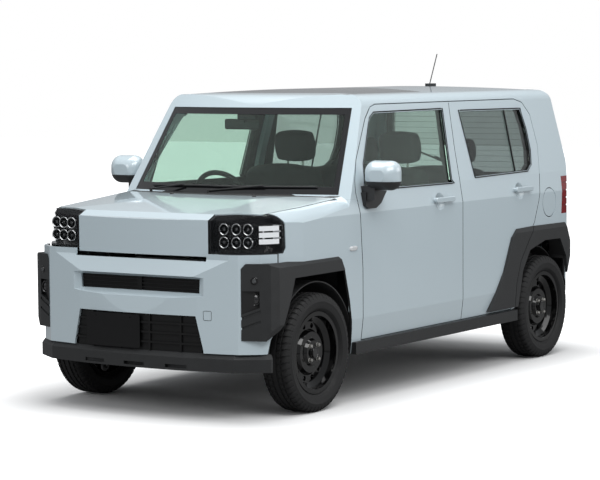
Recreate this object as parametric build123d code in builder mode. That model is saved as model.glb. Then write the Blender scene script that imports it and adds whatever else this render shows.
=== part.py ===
"""A small boxy four-door kei car, built from its real panels.

Millimetres. +X points to the front, +Y to the car's left and +Z up.
The origin is on the ground, at the middle of the overall length and width.
"""

import math
import os

from build123d import *

os.makedirs("parts", exist_ok=True)

# Driving dimensions of the whole car
wheelbase = 2460.0
front_overhang = 560.0
rear_overhang = 375.0
overall_width = 1475.0

overall_length = front_overhang + wheelbase + rear_overhang
front_x = overall_length / 2
rear_x = -overall_length / 2
front_axle_x = front_x - front_overhang
rear_axle_x = rear_x + rear_overhang
clad_y = overall_width / 2  # the outer face of the cladding

# Gaps
shut_gap = 5.0  # between a moving panel and the body round it
seat_gap = 0.3  # between a piece and what carries it
run_gap = 0.1  # radial, between a stub shaft and its bearing

# Body side, as half widths and heights
side_y = clad_y - 15.5  # the widest painted surface
side_foot_y = side_y - 22.0
side_foot_z = 250.0
lower_crease_z = 430.0
shoulder_z = 965.0
belt_y = side_y - 18.0
belt_z = 1080.0
rail_y = side_y - 110.0
rail_z = 1505.0
roof_edge_y = side_y - 202.0
roof_edge_z = 1562.0
roof_z = 1590.0

# Body ends
nose_x = front_x - 65.5  # the bonnet's front face, on the centre line
nose_side_x = front_x - 93.5
nose_side_y = side_y - 252.0
nose_corner_x = front_x - 162.5
nose_corner_y = side_y - 77.0
nose_wing_x = front_x - 297.5
nose_straight_x = front_x - 447.5
tail_corner_x = rear_x + 97.5
tail_face_x = rear_x + 29.5
tail_tip_x = rear_x + 13.5
tail_corner_y = side_y - 122.0

# Bonnet and windscreen line, in the side view
bonnet_low_z = 797.0
bonnet_ridge_z = 956.0
bonnet_lip_x = front_x - 112.5
bonnet_lip_z = 1000.0
cowl_x = front_axle_x - 207.5
cowl_z = 1056.0
screen_foot_x = front_axle_x - 222.5
screen_foot_z = 1056.0
screen_head_x = front_axle_x - 515.5
screen_head_z = 1508.0
screen_bow_radius = 2600.0
roof_front_x = front_axle_x - 617.5
roof_front_z = 1566.0
roof_rear_x = rear_x + 157.5
roof_rear_z = 1560.0
tail_head_x = rear_x + 75.5
tail_head_z = 1490.0
tail_belt_x = rear_x + 21.5
tail_belt_z = 1000.0
tail_foot_z = 890.0
tail_foot_x = rear_x + 197.5  # where the lower body stops above that height

# Wall thicknesses
door_wall = 45.0
frame_start = 51.0  # depth at which the door frame ring starts
frame_wall = 78.0
roof_wall = 32.0
rear_wall = 70.0
skin_wall = 12.0
bonnet_wall = 18.0
lamp_depth = 70.0
lens_wall = 3.0
glass_inset = 9.0
glass_wall = 5.0

# Doors
door_front_x = front_axle_x - 432.5
door_foot_z = 318.0
door_head_z = 1511.0
split_x = front_axle_x - 1484.0  # the front edge of the rear doors
frame_overlap = 26.0  # how far the frame ring covers the door's edge

# Wheels
tyre_radius = 297.5
tyre_width = 165.0
tread_width = 138.0
bead_radius = 190.3
rim_radius = 190.0
flange_radius = 205.0
rim_width = 128.0
stub_radius = 18.0
disc_radius = 116.0
wheel_centre_y = clad_y - 5.0 - tyre_width / 2
axle_z = tyre_radius

# Steering axis, in the section through the front axle
king_foot_y = wheel_centre_y - 50.0
king_foot_z = 205.0
king_head_y = wheel_centre_y - 160.0
king_head_z = 770.0

# Floor and engine bay
floor_z = 268.0
floor_wall = 30.0
floor_top_z = floor_z + floor_wall
load_floor_z = 400.0
well_radius = 350.0
well_wall = 6.0
firewall_x = front_axle_x - 337.5
bay_rail_y = 350.0  # the middle of each rail beside the engine
crossbar_z = 345.0  # the foot of the bar that joins the rails at the front

# How far the drawn outlines run past the body before they are cut to it
past_x = 25.0
past_y = 78.0
front_reach = front_x + past_x
rear_reach = rear_x - past_x
side_reach = side_y + past_y


def save(name, piece):
    """Labels a finished piece and writes it as a node of its own."""
    piece.label = name
    export_step(piece, f"parts/{name}.step")


def across(points, y0, y1):
    """A prism whose outline is drawn in the side view, from y0 to y1."""
    low, high = min(y0, y1), max(y0, y1)
    with BuildPart() as prism:
        with BuildSketch(Plane.XZ.offset(-high)):
            with BuildLine():
                Polyline(*points, close=True)
            make_face()
        extrude(amount=high - low)
    return prism.part


def along(points, x0, x1):
    """A prism whose outline is drawn in the front view, from x0 to x1."""
    with BuildPart() as prism:
        with BuildSketch(Plane.YZ.offset(min(x0, x1))):
            with BuildLine():
                Polyline(*points, close=True)
            make_face()
        extrude(amount=abs(x1 - x0))
    return prism.part


def upward(points, z0, z1):
    """A prism whose outline is drawn in the plan view, from z0 to z1."""
    with BuildPart() as prism:
        with BuildSketch(Plane.XY.offset(z0)):
            with BuildLine():
                Polyline(*points, close=True)
            make_face()
        extrude(amount=z1 - z0)
    return prism.part


def block(x0, x1, y0, y1, z0, z1):
    """A box between two corners."""
    return upward([(x0, y0), (x1, y0), (x1, y1), (x0, y1)], z0, z1)


def other_side(piece):
    """The same piece on the car's right side."""
    return mirror(piece, about=Plane.XZ)


def both_sides(piece):
    """A piece and its twin on the car's right side, as one node."""
    left = piece.solids()
    return Compound(left + [other_side(solid) for solid in left])


def from_x(anchor_x, points):
    """An outline given by its distances ahead of an anchor, placed along the car."""
    return [(anchor_x + x, other) for x, other in points]


def front_view(half):
    """A closed front-view outline from its left half."""
    return half + [(-y, z) for y, z in reversed(half) if y]


def plan_view(half):
    """A closed plan-view outline from its left half."""
    return half + [(x, -y) for x, y in reversed(half) if y]


def grown(points, by):
    """An outline moved outward by a distance, its corners kept sharp."""
    with BuildSketch() as outline:
        with BuildLine():
            Polyline(*points, close=True)
        make_face()
        offset(amount=by, kind=Kind.INTERSECTION)
    wire = outline.sketch.faces()[0].outer_wire()
    return [(v.X, v.Y) for v in (edge @ 0 for edge in wire.order_edges())]


def section(side_t, roof_t, x0, x1):
    """The car's front-view section, inset by the wall thicknesses, as a prism along the car."""
    side = [
        (side_foot_y, side_foot_z),
        (side_y, lower_crease_z),
        (side_y, shoulder_z),
        (belt_y, belt_z),
        (rail_y, rail_z),
    ]
    left = [(y - side_t, z) for y, z in side]
    rail = left[-1]
    edge = (roof_edge_y - side_t * 0.5, roof_edge_z - roof_t)
    bend = (rail[0] - 21.0, rail_z + 38.0 - roof_t * 0.5)
    with BuildPart() as prism:
        with BuildSketch(Plane.YZ.offset(x0)):
            with BuildLine():
                Polyline(*left)
                ThreePointArc(rail, bend, edge)
                ThreePointArc(edge, (0, roof_z - roof_t), (-edge[0], edge[1]))
                ThreePointArc((-edge[0], edge[1]), (-bend[0], bend[1]), (-rail[0], rail[1]))
                Polyline(*[(-y, z) for y, z in reversed(left)])
                Line((-left[0][0], left[0][1]), left[0])
            make_face()
        extrude(amount=x1 - x0)
    return prism.part


def plan(side_t, front_t, rear_t, z0, z1):
    """The body's plan view, inset by the wall thicknesses, as a prism upward."""
    nose = (nose_x - front_t, 0)
    shoulder = (nose_side_x - front_t, nose_side_y)
    corner = (nose_corner_x - front_t, nose_corner_y - side_t)
    wing = (nose_wing_x - front_t, side_y - 10.0 - side_t)
    wide = (nose_straight_x - front_t, side_y + 1.0 - side_t)
    rear = (tail_corner_x + rear_t, side_y + 1.0 - side_t)
    tail = (tail_face_x + rear_t, tail_corner_y - side_t)
    tip = (tail_tip_x + rear_t, 0)
    bend = (tail_corner_x - 62.0 + rear_t, side_y - 34.0 - side_t)
    with BuildPart() as prism:
        with BuildSketch(Plane.XY.offset(z0)):
            with BuildLine():
                ThreePointArc((shoulder[0], -shoulder[1]), nose, shoulder)
                ThreePointArc(shoulder, corner, wing)
                Polyline(wing, wide, rear)
                ThreePointArc(rear, bend, tail)
                ThreePointArc(tail, tip, (tail[0], -tail[1]))
                ThreePointArc((tail[0], -tail[1]), (bend[0], -bend[1]), (rear[0], -rear[1]))
                Polyline((rear[0], -rear[1]), (wide[0], -wide[1]), (wing[0], -wing[1]))
                ThreePointArc((wing[0], -wing[1]), (corner[0], -corner[1]), (shoulder[0], -shoulder[1]))
            make_face()
        extrude(amount=z1 - z0)
    return prism.part


def tail_x(z):
    """The rear face's place along the car at a height above the belt."""
    return tail_belt_x + (tail_head_x - tail_belt_x) * (z - tail_belt_z) / (tail_head_z - tail_belt_z)


def crown(side_t, roof_t):
    """A prism along the bonnet's slope that rounds it down into the wings."""
    slope = Vector(bonnet_lip_x - cowl_x, 0, bonnet_lip_z - cowl_z).normalized()
    start = Vector(cowl_x, 0, cowl_z) - slope * overall_length
    wing = (side_y + 3.0 - side_t, -125.0)
    bend = (side_y - 14.0 - side_t, -48.0 - roof_t * 0.6)
    shoulder = (side_y - 84.0 - side_t, -8.0 - roof_t)
    foot = -belt_z
    with BuildPart() as prism:
        with BuildSketch(Plane(origin=start, x_dir=(0, 1, 0), z_dir=slope)):
            with BuildLine():
                Polyline((wing[0], foot), wing)
                ThreePointArc(wing, bend, shoulder)
                ThreePointArc(shoulder, (0, 12.0 - roof_t), (-shoulder[0], shoulder[1]))
                ThreePointArc((-shoulder[0], shoulder[1]), (-bend[0], bend[1]), (-wing[0], wing[1]))
                Polyline((-wing[0], wing[1]), (-wing[0], foot), (wing[0], foot))
            make_face()
        extrude(amount=overall_length * 1.4)
    return prism.part


def king_y(z):
    """The steering axis's distance from the centre line at a height."""
    return king_foot_y + (king_head_y - king_foot_y) * (z - king_foot_z) / (king_head_z - king_foot_z)


def lower_body(side_t, roof_t, front_t, rear_t):
    """The solid under the bonnet line and the belt."""
    foot_z = side_foot_z - 10.0
    lip = (bonnet_lip_x - 30.0 - front_t, bonnet_lip_z - roof_t)
    cowl_top = (cowl_x - front_t, cowl_z - roof_t)
    middle = ((lip[0] + cowl_top[0]) / 2 + 17.5, (lip[1] + cowl_top[1]) / 2 + 8.0)
    with BuildPart() as hull:
        with BuildSketch(Plane.XZ.offset(-side_reach)):
            with BuildLine():
                Polyline(
                    (front_reach, foot_z),
                    (front_reach, bonnet_ridge_z - roof_t * 0.5),
                    (bonnet_lip_x + 20.0 - front_t * 0.4, bonnet_ridge_z + 20.0 - roof_t * 0.8),
                    lip,
                )
                ThreePointArc(lip, middle, cowl_top)
                Polyline(
                    cowl_top,
                    (tail_foot_x, cowl_z - roof_t),
                    (tail_foot_x, tail_foot_z),
                    (tail_tip_x + rear_t, tail_foot_z),
                    (tail_tip_x + rear_t, foot_z),
                    (front_reach, foot_z),
                )
            make_face()
        extrude(amount=2 * side_reach)
        add(section(side_t, roof_t, rear_reach, front_reach), mode=Mode.INTERSECT)
        add(plan(side_t, front_t, rear_t, foot_z - 10.0, roof_z + 110.0), mode=Mode.INTERSECT)
        add(crown(side_t, roof_t), mode=Mode.INTERSECT)
    return hull.part


def greenhouse(side_t, roof_t, front_t, rear_t):
    """The solid above the belt, with its bowed windscreen."""
    slope = Vector(screen_head_x - screen_foot_x, 0, screen_head_z - screen_foot_z).normalized()
    inward = Vector(-slope.Z, 0, slope.X)
    foot = Vector(screen_foot_x, 0, screen_foot_z) + inward * front_t
    head = Vector(screen_head_x, 0, screen_head_z) + inward * front_t
    base = foot - slope * 240
    roof_front = (roof_front_x - front_t, roof_front_z - roof_t)
    roof_middle = ((roof_front_x + roof_rear_x) / 2 + 210.0, roof_z + 8.0 - roof_t)
    roof_rear = (roof_rear_x + rear_t, roof_rear_z - roof_t)
    tail_head = (tail_x(tail_head_z - roof_t) + rear_t, tail_head_z - roof_t)
    with BuildPart() as cabin:
        with BuildSketch(Plane.XZ.offset(-side_reach)):
            with BuildLine():
                Line((base.X, base.Z), (head.X, head.Z))
                ThreePointArc(
                    (head.X, head.Z),
                    ((head.X + roof_front[0]) / 2 + 10.0, (head.Z + roof_front[1]) / 2 + 11.0),
                    roof_front,
                )
                ThreePointArc(roof_front, roof_middle, roof_rear)
                ThreePointArc(roof_rear, (roof_rear[0] - 60.0, roof_rear[1] - 22.0), tail_head)
                Polyline(
                    tail_head,
                    (tail_belt_x + rear_t, tail_belt_z),
                    (tail_tip_x + rear_t, tail_foot_z),
                    (tail_tip_x + rear_t, base.Z),
                    (base.X, base.Z),
                )
            make_face()
        extrude(amount=2 * side_reach)
        add(section(side_t, roof_t, rear_reach, front_reach), mode=Mode.INTERSECT)
        add(plan(side_t, 0, rear_t, side_foot_z - 20.0, roof_z + 110.0), mode=Mode.INTERSECT)
        axis_start = base + inward * screen_bow_radius - slope * 400
        with BuildSketch(Plane(origin=axis_start, x_dir=(0, 1, 0), z_dir=slope)):
            Circle(screen_bow_radius)
        extrude(amount=2600, mode=Mode.INTERSECT)
    return cabin.part


def envelope(side_t, roof_t, front_t=None, rear_t=None):
    """The whole painted body as one solid, inset by wall thicknesses."""
    front_t = side_t if front_t is None else front_t
    rear_t = side_t if rear_t is None else rear_t
    with BuildPart() as whole:
        add(lower_body(side_t, roof_t, front_t, rear_t))
        add(greenhouse(side_t, roof_t, front_t, rear_t))
    return whole.part


def between(outer_solid, inner_solid):
    """The wall that is left between an envelope and a deeper one."""
    with BuildPart() as wall:
        add(outer_solid)
        add(inner_solid, mode=Mode.SUBTRACT)
    return wall.part


outer = envelope(0, 0)
proud = envelope(-seat_gap, -seat_gap)
screen_skin = envelope(lens_wall, lens_wall)
skin_core = envelope(skin_wall, skin_wall)
skin_seat = envelope(skin_wall + seat_gap, skin_wall + seat_gap)
bonnet_core = envelope(bonnet_wall, bonnet_wall)
glass_skin = envelope(glass_inset, glass_inset)
glass_seat = envelope(glass_inset + seat_gap, glass_inset + seat_gap)
glass_core = envelope(glass_inset + glass_wall, glass_inset + glass_wall)
door_core = envelope(door_wall, door_wall * 0.8, -20.0, 40.0)
frame_skin = envelope(frame_start, frame_start * 0.8, frame_start, 46.0)
cabin = envelope(frame_wall, roof_wall, frame_wall, rear_wall)
cabin_seat = envelope(frame_wall + seat_gap, roof_wall + seat_gap, frame_wall, rear_wall + seat_gap)
lens_seat = lower_body(lens_wall + seat_gap, lens_wall + seat_gap, lens_wall + seat_gap, lens_wall)
lamp_floor = lower_body(44.0, 44.0, 44.0, 44.0)
lamp_core = envelope(lamp_depth, lamp_depth, lamp_depth, lamp_depth - 10.0)

# Outlines in the side view; each row is (distance ahead of an anchor, height)
front_door_line = from_x(
    door_front_x,
    [
        (0, door_foot_z),
        (0, 680),
        (22, 960),
        (42, 1075),
        (30, 1130),
        (-20, 1235),
        (-182, 1440),
        (-250, 1497),
        (-305, door_head_z),
    ],
) + from_x(
    split_x + shut_gap,
    [(-36, door_head_z), (-6, 1245), (3, 1060), (0, 960), (0, door_foot_z)],
)
rear_door_line = from_x(
    split_x,
    [(0, door_foot_z), (0, 960), (3, 1060), (-6, 1245), (-36, door_head_z)],
) + from_x(
    rear_axle_x,
    [
        (172.5, door_head_z),
        (82.5, 1490),
        (12.5, 1420),
        (-11.5, 1240),
        (24.5, 1100),
        (69.5, 925),
        (126.5, 800),
        (232.5, 690),
        (322.5, 590),
        (372.5, 470),
        (397.5, door_foot_z),
    ],
)
front_window_line = from_x(
    door_front_x, [(-57, 1082), (-85, 1212), (-227, 1440), (-275, 1466)]
) + from_x(split_x, [(54.5, 1470), (98.5, 1090), (84.5, 1076)])
rear_window_line = from_x(split_x, [(-131.5, 1456), (-175.5, 1094)]) + from_x(
    rear_axle_x, [(172.5, 1102), (117.5, 1135), (92.5, 1215), (96.5, 1340), (126.5, 1452)]
)
fender_rear_x = door_front_x + shut_gap + 0.5
bumper_end_x = front_x - 217.5
bumper_top_z = 812.7
fender_line = [
    (fender_rear_x, 255),
    (fender_rear_x, 680),
    (fender_rear_x + 22, 960),
    (fender_rear_x + 37.5, 1040),
    (front_x - 97.5, 1040),
    (front_x - 97.5, 900),
    (bumper_end_x, bumper_top_z),
    (bumper_end_x, 300),
    (front_axle_x - 37.5, 250),
]
lamp_foot_z = bumper_top_z + seat_gap
lamp_line = from_x(
    front_x,
    [
        (-278, lamp_foot_z),
        (-293, 838),
        (-288, 952),
        (-268, 990),
        (-217.5, 1045),
        (25, 1045),
        (25, lamp_foot_z),
    ],
)
tail_lamp_line = [
    (rear_x + 152.5, 830),
    (rear_x + 137.5, 1050),
    (rear_reach, 1050),
    (rear_reach, 830),
]
shell_line = [
    (rear_reach, side_foot_z - 5),
    (rear_reach, roof_z + 30),
    (front_axle_x - 437.5, roof_z + 30),
    (front_axle_x - 263.5, 1075),
    (front_axle_x - 263.5, 1000),
    (front_axle_x - 307.5, 1000),
    (front_axle_x - 307.5, side_foot_z - 5),
]
front_arch = from_x(
    front_axle_x,
    [
        (-337.5, 200),
        (-337.5, 300),
        (-329.5, 380),
        (-301.5, 535),
        (-253.5, 700),
        (224.5, 700),
        (262.5, 620),
        (332.5, 470),
        (377.5, 400),
        (392.5, 330),
        (392.5, 200),
    ],
)
rear_arch = from_x(
    rear_axle_x,
    [
        (354.5, 200),
        (347.5, 321),
        (286.5, 535),
        (200.5, 650),
        (15.5, 694),
        (-179.5, 692),
        (-265.5, 580),
        (-279.5, 489),
        (-279.5, 440),
    ],
) + [(rear_reach, 440), (rear_reach, 200)]

# Outlines in the front view; each row is (half width, height)
tailgate_line = front_view(
    [
        (side_y - 192, 577),
        (side_y - 160, 830),
        (side_y - 160, 1090),
        (side_y - 202, 1470),
        (side_y - 252, 1528),
    ]
)
tailgate_window_line = front_view([(side_y - 222, 1060), (side_y - 254, 1440)])
screen_line = front_view([(side_y - 79, 1062), (side_y - 156, 1497)])
slot_line = front_view([(side_y - 360, 619), (side_y - 357, 688)])
slot_mouth_line = front_view([(side_y - 262, 590), (side_y - 262, 712)])
bumper_foot_z = 331.0
intake_foot_z = bumper_foot_z - 10.0
intake_line = front_view([(side_y - 324, intake_foot_z), (side_y - 326, 345), (side_y - 366, 511)])

# Outlines in the plan view; each row is (place along the car, half width)
bonnet_plan = plan_view(
    [
        (front_axle_x - 152.5, 0),
        (front_axle_x - 162.5, side_y - 472),
        (front_axle_x - 197.5, side_y - 242),
        (front_axle_x - 257.5, side_y - 60),
        (front_axle_x + 62.5, side_y - 67),
        (front_x - 220.5, side_y - 94),
        (front_x - 145.5, side_y - 325),
        (front_reach, side_y - 325),
    ]
)
cowl_plan = [
    (front_axle_x - 263.2, 0),
    (front_axle_x - 158.5, 0),
    (front_axle_x - 168.5, side_y - 472),
    (front_axle_x - 202.5, side_y - 244),
    (front_axle_x - 257.5, side_y - 82),
    (front_axle_x - 263.2, side_y - 82),
]
roof_panel_line = plan_view(
    [
        (roof_front_x - 80, 0),
        (roof_front_x - 84, side_y - 272),
        (roof_front_x - 110, side_y - 244),
        (roof_front_x - 820, side_y - 244),
        (roof_front_x - 850, side_y - 272),
        (roof_front_x - 850, 0),
    ]
)


def bumper_hull(inset, z0, z1):
    """The front bumper's solid form, inset by a wall thickness."""
    bow = from_x(front_x, [(-7.5, 0), (-31.5, side_y - 362), (-72.5, side_y - 142), (-137.5, side_y - 54)])
    bow.append((bumper_end_x, side_y - 10))
    face = from_x(
        front_x,
        [(-5.5, z0), (-7.5, 511), (-17.5, 619), (-23.5, 690), (-63.5, 786), (-63.5, bumper_top_z)],
    )
    inner = [(x - inset, y - inset if y else 0) for x, y in bow]
    back = (front_axle_x - 37.5, inner[4][1])
    with BuildPart() as hull:
        with BuildSketch(Plane.XY.offset(z0)):
            with BuildLine():
                ThreePointArc((inner[1][0], -inner[1][1]), inner[0], inner[1])
                Polyline(inner[1], inner[2], inner[3], inner[4], back, (back[0], -back[1]))
                Polyline(
                    (back[0], -back[1]),
                    (inner[4][0], -inner[4][1]),
                    (inner[3][0], -inner[3][1]),
                    (inner[2][0], -inner[2][1]),
                    (inner[1][0], -inner[1][1]),
                )
            make_face()
        extrude(amount=z1 - z0)
        side = [(back[0], z0)] + [(x - inset, z) for x, z in face] + [(back[0], bumper_top_z)]
        add(across(side, -side_reach, side_reach), mode=Mode.INTERSECT)
    return hull.part


def axle_drum(axle_x, radius, y0, y1):
    """A solid cylinder round an axle line."""
    with BuildPart() as drum:
        with BuildSketch(Plane(origin=(axle_x, y1, axle_z), x_dir=(1, 0, 0), z_dir=(0, -1, 0))):
            Circle(radius)
        extrude(amount=y1 - y0)
    return drum.part


def tube(start, end, radius):
    """A round bar between two points."""
    start, end = Vector(*start), Vector(*end)
    with BuildPart() as bar:
        with BuildSketch(Plane(origin=start, z_dir=(end - start).normalized())):
            Circle(radius)
        extrude(amount=(end - start).length)
    return bar.part


def ball(centre, radius):
    """A ball round a point."""
    with BuildPart() as globe:
        with Locations(centre):
            Sphere(radius)
    return globe.part


# Door handles: a bar on two feet, over a round dish in the door's skin
handle_length, handle_height, handle_wall = 205.0, 29.0, 13.0
handle_y = side_y + 22.0
handle_foot_length = 34.0
dish_radius, dish_depth = 50.0, 14.0
dish_ball_radius = (dish_radius**2 + dish_depth**2) / (2 * dish_depth)
front_handle = (split_x + 222.0, 990.0)
rear_handle = (rear_axle_x + 276.0, 1000.0)


def handle(x, z):
    """A door handle whose bar stands off the skin, centred on a point of the side view."""
    with BuildPart() as bar:
        with BuildSketch(Plane.XZ.offset(-handle_y)):
            with Locations((x, z)):
                RectangleRounded(handle_length, handle_height, handle_height / 2 - 1)
        extrude(amount=handle_wall)
        fillet(bar.faces().sort_by(Axis.Y)[-1].edges(), 5)
        with BuildSketch(Plane.XZ.offset(-(handle_y - handle_wall / 2))):
            for end in [-1, 1]:
                with Locations((x + end * (handle_length - handle_foot_length - 6) / 2, z)):
                    RectangleRounded(handle_foot_length, handle_height - 4, handle_height / 2 - 4)
        extrude(amount=handle_y - handle_wall / 2 - (belt_y - 4.0))
    return bar.part


def dish(x, z):
    """The ball that hollows the skin behind a handle."""
    skin_y = side_y - (side_y - belt_y) * (z - shoulder_z) / (belt_z - shoulder_z)
    return ball((x + 28.0, skin_y - dish_depth + dish_ball_radius, z), dish_ball_radius)


# Doors, each as thick as the whole door and hung on two hinge leaves
hinge_rows = [390.0, 850.0]
hinge_height = 60.0
door_shell = between(outer, door_core)
front_leaf = (door_front_x - 15, fender_rear_x - 0.8, side_y - 32, side_y - 16)
rear_leaf = (split_x - 20, split_x - 3, side_y - 50.7, side_y - 38)
door_table = [
    # name, outline, window, handle, hinge leaf's ends along and across the car
    ("front", front_door_line, front_window_line, front_handle, front_leaf),
    ("rear", rear_door_line, rear_window_line, rear_handle, rear_leaf),
]
for name, outline, window, grip, leaf in door_table:
    with BuildPart() as door:
        add(door_shell)
        add(across(outline, frame_wall, side_reach), mode=Mode.INTERSECT)
        add(across(window, frame_wall, side_reach), mode=Mode.SUBTRACT)
        add(dish(*grip), mode=Mode.SUBTRACT)
        add(handle(*grip))
        for height in hinge_rows:
            add(block(*leaf, height, height + hinge_height))
    save(f"door_{name}_left", door.part)
    save(f"door_{name}_right", other_side(door.part))

# Door glass, set in from the skin
pane = between(glass_skin, glass_core)
for name, window in [("front", front_window_line), ("rear", rear_window_line)]:
    with BuildPart() as glass:
        add(pane)
        add(across(grown(window, -seat_gap), frame_wall, side_reach), mode=Mode.INTERSECT)
    save(f"glass_{name}_left", glass.part)
    save(f"glass_{name}_right", other_side(glass.part))

# Fuel filler
filler_x, filler_z = rear_axle_x - 65.5, 905.0
lid_radius, neck_radius = 82.0, 30.0


def filler_drum(radius, y0, y1):
    """A solid cylinder round the filler's centre."""
    with BuildPart() as drum:
        with BuildSketch(Plane(origin=(filler_x, y1, filler_z), x_dir=(1, 0, 0), z_dir=(0, -1, 0))):
            Circle(radius)
        extrude(amount=y1 - y0)
    return drum.part


# The shell: side frames, roof, pillars and the rear corners, with room for all that moves
skin_band = between(outer, skin_seat)
frame_band = between(outer, frame_skin)
screen_seat_depth = front_axle_x - 657.5
tail_depth = rear_x + 297.5
bumper_line_z = 572.0
tail_lamp_y = side_y - 150.0
with BuildPart() as fender_room:
    add(skin_band)
    add(across(grown(fender_line, seat_gap), -side_reach, side_reach), mode=Mode.INTERSECT)
with BuildPart() as door_room:
    for line in [front_door_line, rear_door_line]:
        add(across(grown(line, shut_gap), -side_reach, side_reach))
    add(frame_band, mode=Mode.INTERSECT)
    for line in [front_door_line, rear_door_line]:
        add(across(grown(line, -frame_overlap), -side_reach, side_reach))
with BuildPart() as tailgate_room:
    add(along(grown(tailgate_line, shut_gap), rear_reach, tail_depth))
    add(frame_band, mode=Mode.INTERSECT)
    add(along(grown(tailgate_line, -22), rear_reach, tail_depth))
glass_band = between(outer, glass_seat)
with BuildPart() as screen_room:
    add(along(grown(screen_line, seat_gap), screen_seat_depth, front_reach))
    add(glass_band, mode=Mode.INTERSECT)
    add(along(grown(screen_line, -18), screen_seat_depth, front_reach))
with BuildPart() as roof_panel_room:
    add(upward(grown(roof_panel_line, seat_gap), roof_z - 70, roof_z + 110))
    add(glass_band, mode=Mode.INTERSECT)
lamp_room = across(grown(tail_lamp_line, seat_gap), tail_lamp_y - seat_gap, side_reach)
with BuildPart() as shell:
    add(outer)
    add(cabin, mode=Mode.SUBTRACT)
    add(across(shell_line, -side_reach, side_reach), mode=Mode.INTERSECT)
    for room in [fender_room, door_room, tailgate_room, screen_room, roof_panel_room]:
        add(room.part, mode=Mode.SUBTRACT)
    add(across(rear_arch, -side_reach, side_reach), mode=Mode.SUBTRACT)
    well_room = axle_drum(front_axle_x, well_radius + well_wall + seat_gap, -side_reach, side_reach)
    add(well_room, mode=Mode.SUBTRACT)
    add(block(rear_reach, rear_x + 107.5, -side_reach, side_reach, 200, bumper_line_z), mode=Mode.SUBTRACT)
    add(lamp_room, mode=Mode.SUBTRACT)
    add(other_side(lamp_room), mode=Mode.SUBTRACT)
    add(filler_drum(lid_radius + shut_gap, side_y - 66, side_reach), mode=Mode.SUBTRACT)
    add(filler_drum(neck_radius, side_y - 72, side_y - 32))
save("body_shell", shell.part)

# The fuel lid, with a hinge lug at its front edge
with BuildPart() as lid:
    add(between(outer, skin_core))
    add(filler_drum(lid_radius, side_y - 122, side_reach), mode=Mode.INTERSECT)
    lug_x = filler_x + lid_radius
    add(block(lug_x - 12, lug_x + shut_gap - 0.7, side_y - 20, side_y - 10, filler_z - 8, filler_z + 8))
save("fuel_lid", lid.part)

# The black glass panel in the roof
with BuildPart() as roof_panel:
    add(between(outer, glass_skin))
    add(upward(roof_panel_line, roof_z - 70, roof_z + 110), mode=Mode.INTERSECT)
save("roof_panel", roof_panel.part)

# Windscreen
with BuildPart() as windscreen:
    add(between(screen_skin, glass_skin))
    add(along(screen_line, screen_seat_depth, front_reach), mode=Mode.INTERSECT)
save("windscreen", windscreen.part)

# Number plates: bare sheets, each with two screw holes near its top
plate_width, plate_height, plate_wall = 330.0, 165.0, 2.0
screw_spacing, screw_radius, screw_depth = 210.0, 3.0, 12.0
screw_rise = plate_height / 2 - 16.0
front_plate = (front_x - 3.5, -127.0, 421.0)
bay_floor_x = rear_x + 27.0
rear_plate = (bay_floor_x - seat_gap, 0.0, 807.0)


def number_plate(face_x, y, z):
    """A bare number plate that ends at face_x, with its screw holes."""
    with BuildPart() as sheet:
        with BuildSketch(Plane.YZ.offset(face_x - plate_wall)):
            with Locations((y, z)):
                RectangleRounded(plate_width, plate_height, 12)
            for end in [-1, 1]:
                with Locations((y + end * screw_spacing / 2, z + screw_rise)):
                    Circle(screw_radius, mode=Mode.SUBTRACT)
        extrude(amount=plate_wall)
    return sheet.part


def screw_hole(start_x, y, z, end):
    """The hole that one of a plate's screws goes into."""
    point = (start_x, y + end * screw_spacing / 2, z + screw_rise)
    return tube(point, (start_x + screw_depth, point[1], point[2]), screw_radius)


save("front_plate", number_plate(*front_plate))
save("rear_plate", number_plate(*rear_plate))

# Tailgate with its window, a pressed bay for the number plate and two hinge leaves
plate_bay = front_view([(side_y - 540, 715), (side_y - 552, 900)])
tailgate_foot_x = rear_x + 135.5
with BuildPart() as tailgate:
    add(door_shell)
    add(along(tailgate_line, rear_reach, tailgate_foot_x), mode=Mode.INTERSECT)
    add(along(tailgate_window_line, rear_reach, tail_depth), mode=Mode.SUBTRACT)
    add(along(plate_bay, rear_reach, bay_floor_x), mode=Mode.SUBTRACT)
    for end in [-1, 1]:
        add(screw_hole(bay_floor_x, rear_plate[1], rear_plate[2], end), mode=Mode.SUBTRACT)
    for low, high in [(300, 350), (-350, -300)]:
        add(block(rear_x + 107.5, rear_x + 127.5, low, high, 1515, 1528 + shut_gap - seat_gap))
save("tailgate", tailgate.part)
with BuildPart() as rear_pane:
    add(pane)
    add(along(grown(tailgate_window_line, -seat_gap), rear_reach, tail_depth), mode=Mode.INTERSECT)
save("glass_tailgate", rear_pane.part)

# Tail lamps, their covers ribbed by shallow grooves
groove_rows = [874.0, 918.0, 962.0, 1006.0]
groove_height = 9.0
with BuildPart() as grooves:
    for row in groove_rows:
        add(block(rear_reach, rear_x + 200, tail_lamp_y + 8, side_reach, row, row + groove_height))
    add(between(outer, screen_skin), mode=Mode.INTERSECT)
with BuildPart() as tail_lamp:
    add(between(outer, lamp_core))
    add(across(tail_lamp_line, tail_lamp_y, side_reach), mode=Mode.INTERSECT)
    add(grooves.part, mode=Mode.SUBTRACT)
save("tail_lamps", both_sides(tail_lamp.part))

# Headlamps: a clear cover over a dark housing with two rows of lamps and three bars
bonnet_room = upward(grown(bonnet_plan, shut_gap), bonnet_low_z - 7, roof_z)
lamp_inner_y = side_y - 320.0
with BuildPart() as lamp_cover:
    add(between(outer, screen_skin))
    add(across(lamp_line, lamp_inner_y, side_reach), mode=Mode.INTERSECT)
    add(bonnet_room, mode=Mode.SUBTRACT)
save("headlamps", both_sides(lamp_cover.part))

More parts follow.
